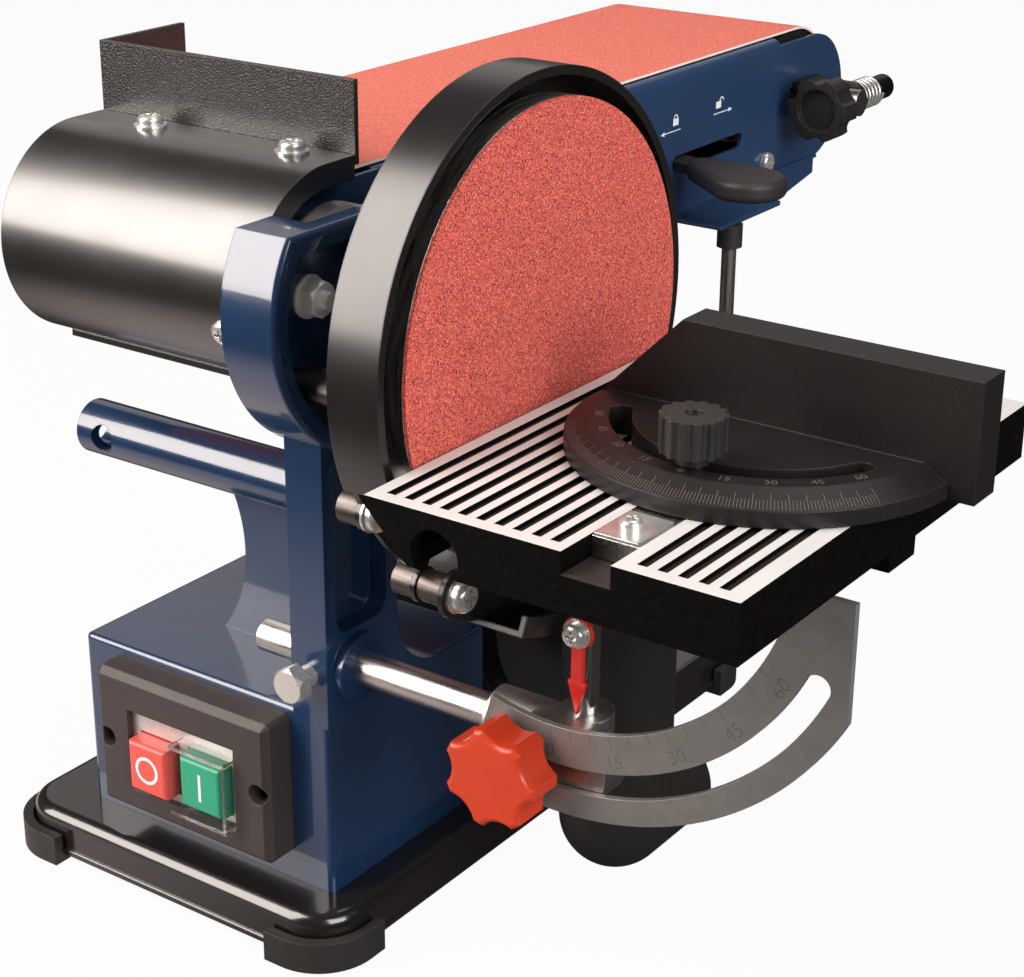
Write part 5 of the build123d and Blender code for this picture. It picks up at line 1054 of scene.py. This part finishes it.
def joined(name: str, meshes: Sequence[bpy.types.Mesh]) -> bpy.types.Object:
    """Joins meshes into one object.

    Args:
        name: the piece's name.
        meshes: the meshes, in the row frame; they are used up.

    Returns:
        An object that holds them all.
    """
    points: list[tuple[float, ...]] = []
    faces: list[list[int]] = []
    for mesh in meshes:
        start = len(points)
        points += [tuple(v.co) for v in mesh.vertices]
        faces += [[start + i for i in face.vertices] for face in mesh.polygons]
        bpy.data.meshes.remove(mesh)
    whole = bpy.data.meshes.new(name)
    whole.from_pydata(points, [], faces)
    whole.validate()
    return bpy.data.objects.new(name, whole)


@dataclass
class Assembly:
    """A sub-assembly: which finish each of its CAD nodes has, and the pieces that dress it."""

    finishes: dict[str, Finish] = field(default_factory=dict)

    def dress(self) -> None:
        """Gives each CAD node its finish, then builds the dressing."""
        for node, finish in self.finishes.items():
            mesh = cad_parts[node].data
            mesh.materials.clear()
            mesh.materials.append(finish.material())
            LOG.info("finished %s with %s", node, finish.name)
        self.build()

    def build(self) -> None:
        """Builds the pieces that the solids leave to the looks."""


@dataclass
class Stand(Assembly):
    """Base, feet, casting, motor and rest rod."""

    finishes: dict[str, Finish] = field(default_factory=lambda: {
        "base_plate": BLACK_BASE, "feet": FOOT_RUBBER, "base_fasteners": ZINC, "frame_casting": NAVY_CAST,
        "rod_lock_bolt": ZINC, "front_bearing": GROUND, "pivot_housing": TURNED, "pivot_bolts": BRIGHT_ZINC,
        "motor_body": BLACK_MOTOR, "motor_shaft": GROUND, "motor_pulley": TURNED, "drive_belt": BELT_RUBBER,
        "rest_rod": SATIN_ROD, "rest_cap": FOOT_RUBBER})


@dataclass
class SwitchUnit(Assembly):
    """Switch box, its buttons with their signs, and the clear shroud."""

    finishes: dict[str, Finish] = field(default_factory=lambda: {
        "switch_box": SWITCH_PLASTIC, "switch_shroud": CLEAR, "switch_screws": ZINC,
        "stop_button": RED_BUTTON, "start_button": GREEN_BUTTON})
    ring_mm: float = 4.9
    stroke_mm: float = 1.2
    bar_mm: float = 11.0
    sign_mm: float = 0.12
    window_x: Span = (-155.5, -103.5)
    window_z: Span = (-196.8, -163.8)
    floor_y: float = -41.5
    plate_mm: float = 0.1
    margin_mm: float = 0.55

    def build(self) -> None:
        """Lays the bright plate in the window and puts the signs on the two buttons."""
        self.plate()
        ring = Marks("stop_sign", self.sign_mm)
        ring.ring(self.front("stop_button"), OUT, UP, self.ring_mm, self.stroke_mm)
        ring.make(WHITE_INK, "stop_button")
        line = Marks("start_sign", self.sign_mm)
        middle, reach = self.front("start_button"), UP * (self.bar_mm * MM / 2)
        line.bar(middle - reach, middle + reach, self.stroke_mm, -ALONG)
        line.make(WHITE_INK, "start_button")

    def plate(self) -> None:
        """Lays thin bright strips on the window's floor round the two buttons."""
        (left, right), (low, top) = self.window_x, self.window_z
        edge = self.margin_mm
        (a, b, foot, head), (c, d, _, _) = (self.outline(name) for name in ("stop_button", "start_button"))
        foot, head = foot - edge, head + edge
        sides = [(left, a - edge), (b + edge, c - edge), (d + edge, right)]
        strips = [(left, right, head, top), (left, right, low, foot)]
        strips += [(x0, x1, foot, head) for x0, x1 in sides]
        sheet = Marks("window_plate", self.plate_mm)
        for x0, x1, z0, z1 in strips:
            corners = [(x0, z0), (x1, z0), (x1, z1), (x0, z1)]
            sheet.slab([at(x, self.floor_y, z) for x, z in corners], -ALONG)
        sheet.make(SILVER_PLATE, "frame")

    @staticmethod
    def outline(button: str) -> tuple[float, float, float, float]:
        """A button's left, right, low and top sides in millimetres from the disc's centre."""
        low, high = ((corner - CENTRE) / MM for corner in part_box(button))
        return low.x, high.x, low.z, high.z

    @staticmethod
    def front(button: str) -> Vector:
        """The middle of a button's front face."""
        low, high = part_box(button)
        return Vector(((low.x + high.x) / 2, low.y, (low.z + high.z) / 2))


@dataclass
class DiscUnit(Assembly):
    """Spindle, sanding disc, guard and dust hood."""

    finishes: dict[str, Finish] = field(default_factory=lambda: {
        "spindle": GROUND, "disc_plate": TURNED, "sanding_disc": DISC_GRIT, "drive_drum": TURNED,
        "spindle_pulley": TURNED, "guard": GUARD_PLASTIC, "guard_spacers": SATIN_SLEEVE, "guard_screws": ZINC,
        "dust_hood": HOOD_PLASTIC})


@dataclass
class BeltArm(Assembly):
    """Swinging arm with its cover, work stop, belt, lever and tracking knob."""

    finishes: dict[str, Finish] = field(default_factory=lambda: {
        "arm_frame": NAVY_SHEET, "pivot_spigot": TURNED, "rear_bearing": GROUND, "drum_cover": BLACK_SHEET,
        "work_stop": BLACK_WRINKLE, "arm_screws": ZINC, "sanding_belt": BELT_GRIT, "lever_pin": GROUND,
        "idler_carriage": ZINC, "idler_axle": GROUND, "tracking_bracket": BLACK_PLASTIC,
        "tracking_spring": ZINC, "idler_drum": BLACK_PLASTIC, "tracking_knob": KNOB_PLASTIC,
        "tracking_screw": BLACK_STEEL, "tension_lever": LEVER_PLASTIC})
    face_x: float = -103.0
    locked_at: Span = (247.0, 7.0)
    freed_at: Span = (283.0, 8.0)
    lock_wide: float = 4.4
    lock_high: float = 3.0
    shackle_mm: float = 1.5
    shackle_line: float = 0.55
    shackle_steps: int = 14
    freed_shift: float = 2.6
    arrow_under: float = 2.2
    arrow_tail: float = 4.0
    arrow_neck: float = 9.0
    arrow_tip: float = 12.0
    arrow_half: float = 1.0
    arrow_line: float = 0.4

    def build(self) -> None:
        """Prints a shut and an open lock beside the lever's slot, each over an arrow."""
        signs = Marks("lever_signs")
        self.lock(signs, *self.locked_at, 0.0)
        self.lock(signs, *self.freed_at, self.freed_shift)
        self.arrow(signs, *self.locked_at, -1)
        self.arrow(signs, *self.freed_at, 1)
        signs.make(WHITE_INK, "belt_arm")

    def lock(self, signs: Marks, y: float, z: float, shift: float) -> None:
        """Prints one lock.

        Args:
            signs: the marks that it joins.
            y: the middle of its case along the belt.
            z: the case's foot.
            shift: how far its shackle has moved off.
        """
        half, top = self.lock_wide / 2, z + self.lock_high
        corners = [(y - half, z), (y + half, z), (y + half, top), (y - half, top)]
        signs.slab([at(self.face_x, *corner) for corner in corners], OUT)
        signs.ring(at(self.face_x, y + shift, top), ALONG, UP, self.shackle_mm, self.shackle_line, 180.0,
                   self.shackle_steps)

    def arrow(self, signs: Marks, y: float, z: float, way: int) -> None:
        """Prints the arrow under a lock.

        Args:
            signs: the marks that it joins.
            y: the middle of the lock along the belt.
            z: the lock's foot.
            way: 1 to point along the belt, -1 to point back.
        """
        line, neck = z - self.arrow_under, y + self.arrow_neck * way
        signs.bar(at(self.face_x, y - self.arrow_tail * way, line), at(self.face_x, neck, line),
                  self.arrow_line, OUT)
        half, tip = self.arrow_half, y + self.arrow_tip * way
        corners = [(neck, line - half), (tip, line), (neck, line + half)][::way]
        signs.slab([at(self.face_x, *corner) for corner in corners], OUT)


@dataclass
class TableUnit(Assembly):
    """Tilting table with its quadrant scale, pointer, carrier and knob."""

    finishes: dict[str, Finish] = field(default_factory=lambda: {
        "support_bar": CHROME, "mount_block": CAST_ZINC, "table_post": CHROME_POST, "tilt_pointer": RED_PAINT,
        "pointer_screw": ZINC, "tilt_knob": RED_KNOB, "table": TABLE_ALLOY, "quadrant": GALVANISED,
        "quadrant_screws": ZINC, "hinge_pin": GROUND})
    hinge: Span = (26.5, -31.5)
    plate_y: float = -36.0
    inner_mm: float = 84.3
    short_mm: float = 3.6
    long_mm: float = 5.2
    tick_mm: float = 0.34
    numeral_at: float = 93.0
    numeral_mm: float = 4.8
    span: int = 60
    step: int = 5
    numeral_step: int = 15

    def spot(self, radius: float, degrees: float) -> Vector:
        """A point on the quadrant's front, by radius and angle from straight down."""
        a = math.radians(degrees)
        return at(self.hinge[0] + radius * math.sin(a), self.plate_y, self.hinge[1] - radius * math.cos(a))

    def build(self) -> None:
        """Engraves the tilt scale and its numerals."""
        ticks = Marks("tilt_scale")
        numerals = Lettering(self.numeral_mm)
        meshes = []
        for degrees in range(0, self.span + 1, self.step):
            numbered = degrees % self.numeral_step == 0
            outer = self.inner_mm + (self.long_mm if numbered else self.short_mm)
            ticks.bar(self.spot(self.inner_mm, degrees), self.spot(outer, degrees), self.tick_mm, -ALONG)
            if numbered:
                a = math.radians(degrees)
                across, up = Vector((math.cos(a), 0, math.sin(a))), Vector((-math.sin(a), 0, math.cos(a)))
                meshes.append(numerals.numeral(str(degrees), self.spot(self.numeral_at, degrees), across, up))
        ticks.make(SCALE_CUT_SHADE, "table")
        settle(joined("tilt_numerals", meshes), SCALE_CUT_SHADE, "table")


@dataclass
class MiterGauge(Assembly):
    """Miter gauge with its engraved bevel scale."""

    finishes: dict[str, Finish] = field(default_factory=lambda: {
        "miter_bar": GROUND_BAR, "miter_cursor": CURSOR_PLATE, "cursor_screw": ZINC,
        "miter_head": MITER_PLASTIC, "miter_knob": KNOB_PLASTIC})
    pivot: Span = (77.5, 2.0)
    rim_mm: float = 61.0
    bevel_mm: float = 7.5
    wall_mm: float = 5.0
    height_mm: float = 9.5
    span: int = 60
    long_step: int = 5
    long_mm: float = 4.6
    short_mm: float = 2.8
    tick_in: float = 0.6
    tick_mm: float = 0.2
    numeral_step: int = 15
    numeral_in: float = 3.0
    numeral_mm: float = 2.8

    def spot(self, inward: float, degrees: float) -> Vector:
        """A point on the bevel.

        Args:
            inward: distance in from the rim.
            degrees: angle from straight ahead.

        Returns:
            The point in metres.
        """
        foot = (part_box("miter_head")[0].z - CENTRE.z) / MM
        a, radius = math.radians(degrees), self.rim_mm - inward
        rise = self.wall_mm + (self.height_mm - self.wall_mm) * inward / self.bevel_mm
        return at(self.pivot[0] + radius * math.sin(a), self.pivot[1] - radius * math.cos(a), foot + rise)

    def build(self) -> None:
        """Engraves the degrees on the bevel and the numerals on the flat behind it."""
        ticks = Marks("miter_scale")
        numerals = Lettering(self.numeral_mm)
        meshes = []
        slope = self.height_mm - self.wall_mm
        for degrees in range(-self.span, self.span + 1):
            a = math.radians(degrees)
            outward, across = Vector((math.sin(a), -math.cos(a), 0)), Vector((math.cos(a), math.sin(a), 0))
            normal = (outward * slope + UP * self.bevel_mm).normalized()
            inner = self.tick_in + (self.long_mm if degrees % self.long_step == 0 else self.short_mm)
            ticks.bar(self.spot(self.tick_in, degrees), self.spot(inner, degrees), self.tick_mm, normal)
            if degrees % self.numeral_step == 0:
                flat = self.spot(self.bevel_mm, degrees) - outward * (self.numeral_in * MM)
                meshes.append(numerals.numeral(str(abs(degrees)), flat, across, -outward))
        ticks.make(MITER_CUT_HIGHLIGHT, "miter_head")
        settle(joined("miter_numerals", meshes), MITER_CUT_HIGHLIGHT, "miter_head")


@dataclass(frozen=True)
class Lamp:
    """A soft box: where it stands seen from the object, its size, power and tint."""

    name: str
    toward: Point
    wide_m: float
    high_m: float
    watts: float
    tint: Colour = WHITE
    far_m: float = 1.6

    def hang(self, aim: Vector) -> None:
        """Makes the lamp and points it at the aim.

        Args:
            aim: the point that it shines at.
        """
        data = bpy.data.lights.new(self.name, "AREA")
        data.shape, data.size, data.size_y = "RECTANGLE", self.wide_m, self.high_m
        data.energy, data.color = self.watts, self.tint
        lamp = bpy.data.objects.new(self.name, data)
        way = Vector(self.toward).normalized()
        lamp.location = aim + way * self.far_m
        lamp.rotation_mode = "QUATERNION"
        lamp.rotation_quaternion = way.to_track_quat("Z", "Y")
        bpy.context.scene.collection.objects.link(lamp)


@dataclass
class Studio:
    """Pale floor, soft light, white surroundings and the camera."""

    lamps: tuple[Lamp, ...] = (
        Lamp("left_box", (-0.54, -0.66, 0.54), 0.9, 1.7, 46.0, (1.0, 0.915, 0.86)),
        Lamp("right_box", (0.86, -0.30, 0.42), 1.1, 1.0, 28.0),
        Lamp("top_box", (0.12, 0.2, 1.0), 1.0, 0.9, 7.0, (1.0, 0.94, 0.91)),
        Lamp("back_box", (-0.51, 0.71, 0.47), 1.6, 0.7, 1.8, (1.0, 0.9, 0.87)),
    )
    camera_at: Point = (367.3, -547.5, 218.5)
    azimuth: float = 36.06
    elevation: float = 22.38
    lens_mm: float = 76.92
    sensor_mm: float = 36.0
    shift_x: float = 0.041
    clip_m: Span = (0.01, 50.0)
    fill: float = 0.16
    mirrored: float = 0.05
    floor_m: float = 12.0
    floor_drop_m: float = 0.0004
    floor_tone: Colour = (0.5, 0.49, 0.48)
    floor_white: float = 0.95
    # Painted reflection: where and how strongly the floor glows for glossy rays only.
    sheen_at_m: Point = (-0.24, -0.27, 0.0)
    sheen_reach_m: Span = (0.06, 0.28)
    sheen_power: Span = (0.8, 0.04)
    sheen_tint: Colour = (1.0, 0.85, 0.805)

    def build(self) -> None:
        """Makes floor, lamps, world and camera."""
        aim = (CAD_BOX[0] + CAD_BOX[1]) / 2
        for lamp in self.lamps:
            lamp.hang(aim)
        self.floor()
        self.world()
        self.camera()
        bpy.context.scene.view_settings.view_transform = "Standard"

    @staticmethod
    def seen(web: Web) -> Socket:
        """One for rays that show the background: camera and transmission rays."""
        path = web.node("ShaderNodeLightPath")
        return web.maths("MAXIMUM", path.outputs["Is Camera Ray"], path.outputs["Is Transmission Ray"])

    @staticmethod
    def mirrors(web: Web) -> Socket:
        """One for rays that come off a glossy surface."""
        return web.node("ShaderNodeLightPath").outputs["Is Glossy Ray"]

    def floor(self) -> None:
        """A wide floor, white where it is seen, that keeps the shadow."""
        half = self.floor_m / 2
        corners = [(-half, -half, 0), (half, -half, 0), (half, half, 0), (-half, half, 0)]
        mesh = bpy.data.meshes.new("floor")
        mesh.from_pydata(corners, [], [(0, 1, 2, 3)])
        floor = bpy.data.objects.new("floor", mesh)
        bpy.context.scene.collection.objects.link(floor)
        floor.location.z = CAD_BOX[0].z - self.floor_drop_m
        mesh.materials.append(self.floor_paint())

    def floor_paint(self) -> bpy.types.Material:
        """Matt paint that shows white, and a painted glow that only reflections see, fading with distance
        from one spot.

        Returns:
            The floor's material.
        """
        paint = bpy.data.materials.new("pale_floor")
        paint.use_nodes = True
        paint.node_tree.nodes.clear()
        web = Web(paint.node_tree)
        matt = web.node("ShaderNodeBsdfDiffuse")
        glow, sheen = web.node("ShaderNodeEmission"), web.node("ShaderNodeEmission")
        matt.inputs["Color"].default_value = (*self.floor_tone, 1.0)
        glow.inputs["Color"].default_value = (*WHITE, 1.0)
        sheen.inputs["Color"].default_value = (*self.sheen_tint, 1.0)
        # Painted reflection: a glow on the floor that only glossy rays see, strongest near sheen_at_m.
        away = web.vectors("DISTANCE", web.place(), self.sheen_at_m).outputs["Value"]
        power = web.spread(away, *self.sheen_reach_m, *self.sheen_power, smooth=True)
        web.feed(sheen.inputs["Strength"], power)
        shown, whole = web.node("ShaderNodeMixShader"), web.node("ShaderNodeMixShader")
        white = web.maths("MULTIPLY", self.seen(web), self.floor_white)
        for socket, given in zip(shown.inputs, (white, matt.outputs[0], glow.outputs[0])):
            web.feed(socket, given)
        for socket, given in zip(whole.inputs, (self.mirrors(web), shown.outputs[0], sheen.outputs[0])):
            web.feed(socket, given)
        web.feed(web.node("ShaderNodeOutputMaterial").inputs["Surface"], whole.outputs[0])
        return paint

    def world(self) -> None:
        """White where it is seen, dim in reflections, a soft fill where it lights."""
        world = bpy.data.worlds.new("studio")
        bpy.context.scene.world = world
        world.use_nodes = True
        world.node_tree.nodes.clear()
        web = Web(world.node_tree)
        sky, end = web.node("ShaderNodeBackground"), web.node("ShaderNodeOutputWorld")
        sky.inputs["Color"].default_value = (*WHITE, 1.0)
        unseen = web.blend(self.mirrors(web), self.fill, self.mirrored)
        web.feed(sky.inputs["Strength"], web.blend(self.seen(web), unseen, 1.0))
        web.feed(end.inputs["Surface"], sky.outputs[0])

    def camera(self) -> None:
        """The camera at the photograph's angle."""
        data = bpy.data.cameras.new("camera")
        data.sensor_width, data.lens, data.shift_x = self.sensor_mm, self.lens_mm, self.shift_x
        data.clip_start, data.clip_end = self.clip_m
        camera = bpy.data.objects.new("camera", data)
        camera.location = at(*self.camera_at)
        camera.rotation_euler = (math.radians(90.0 - self.elevation), 0.0, math.radians(self.azimuth))
        bpy.context.scene.collection.objects.link(camera)
        bpy.context.scene.camera = camera


def main() -> None:
    """Dresses every sub-assembly and builds the studio."""
    logging.basicConfig(level=logging.INFO, format="%(name)s: %(message)s")
    for part in (Stand(), SwitchUnit(), DiscUnit(), BeltArm(), TableUnit(), MiterGauge()):
        part.dress()
    Studio().build()


if __name__ == "__main__":
    main()
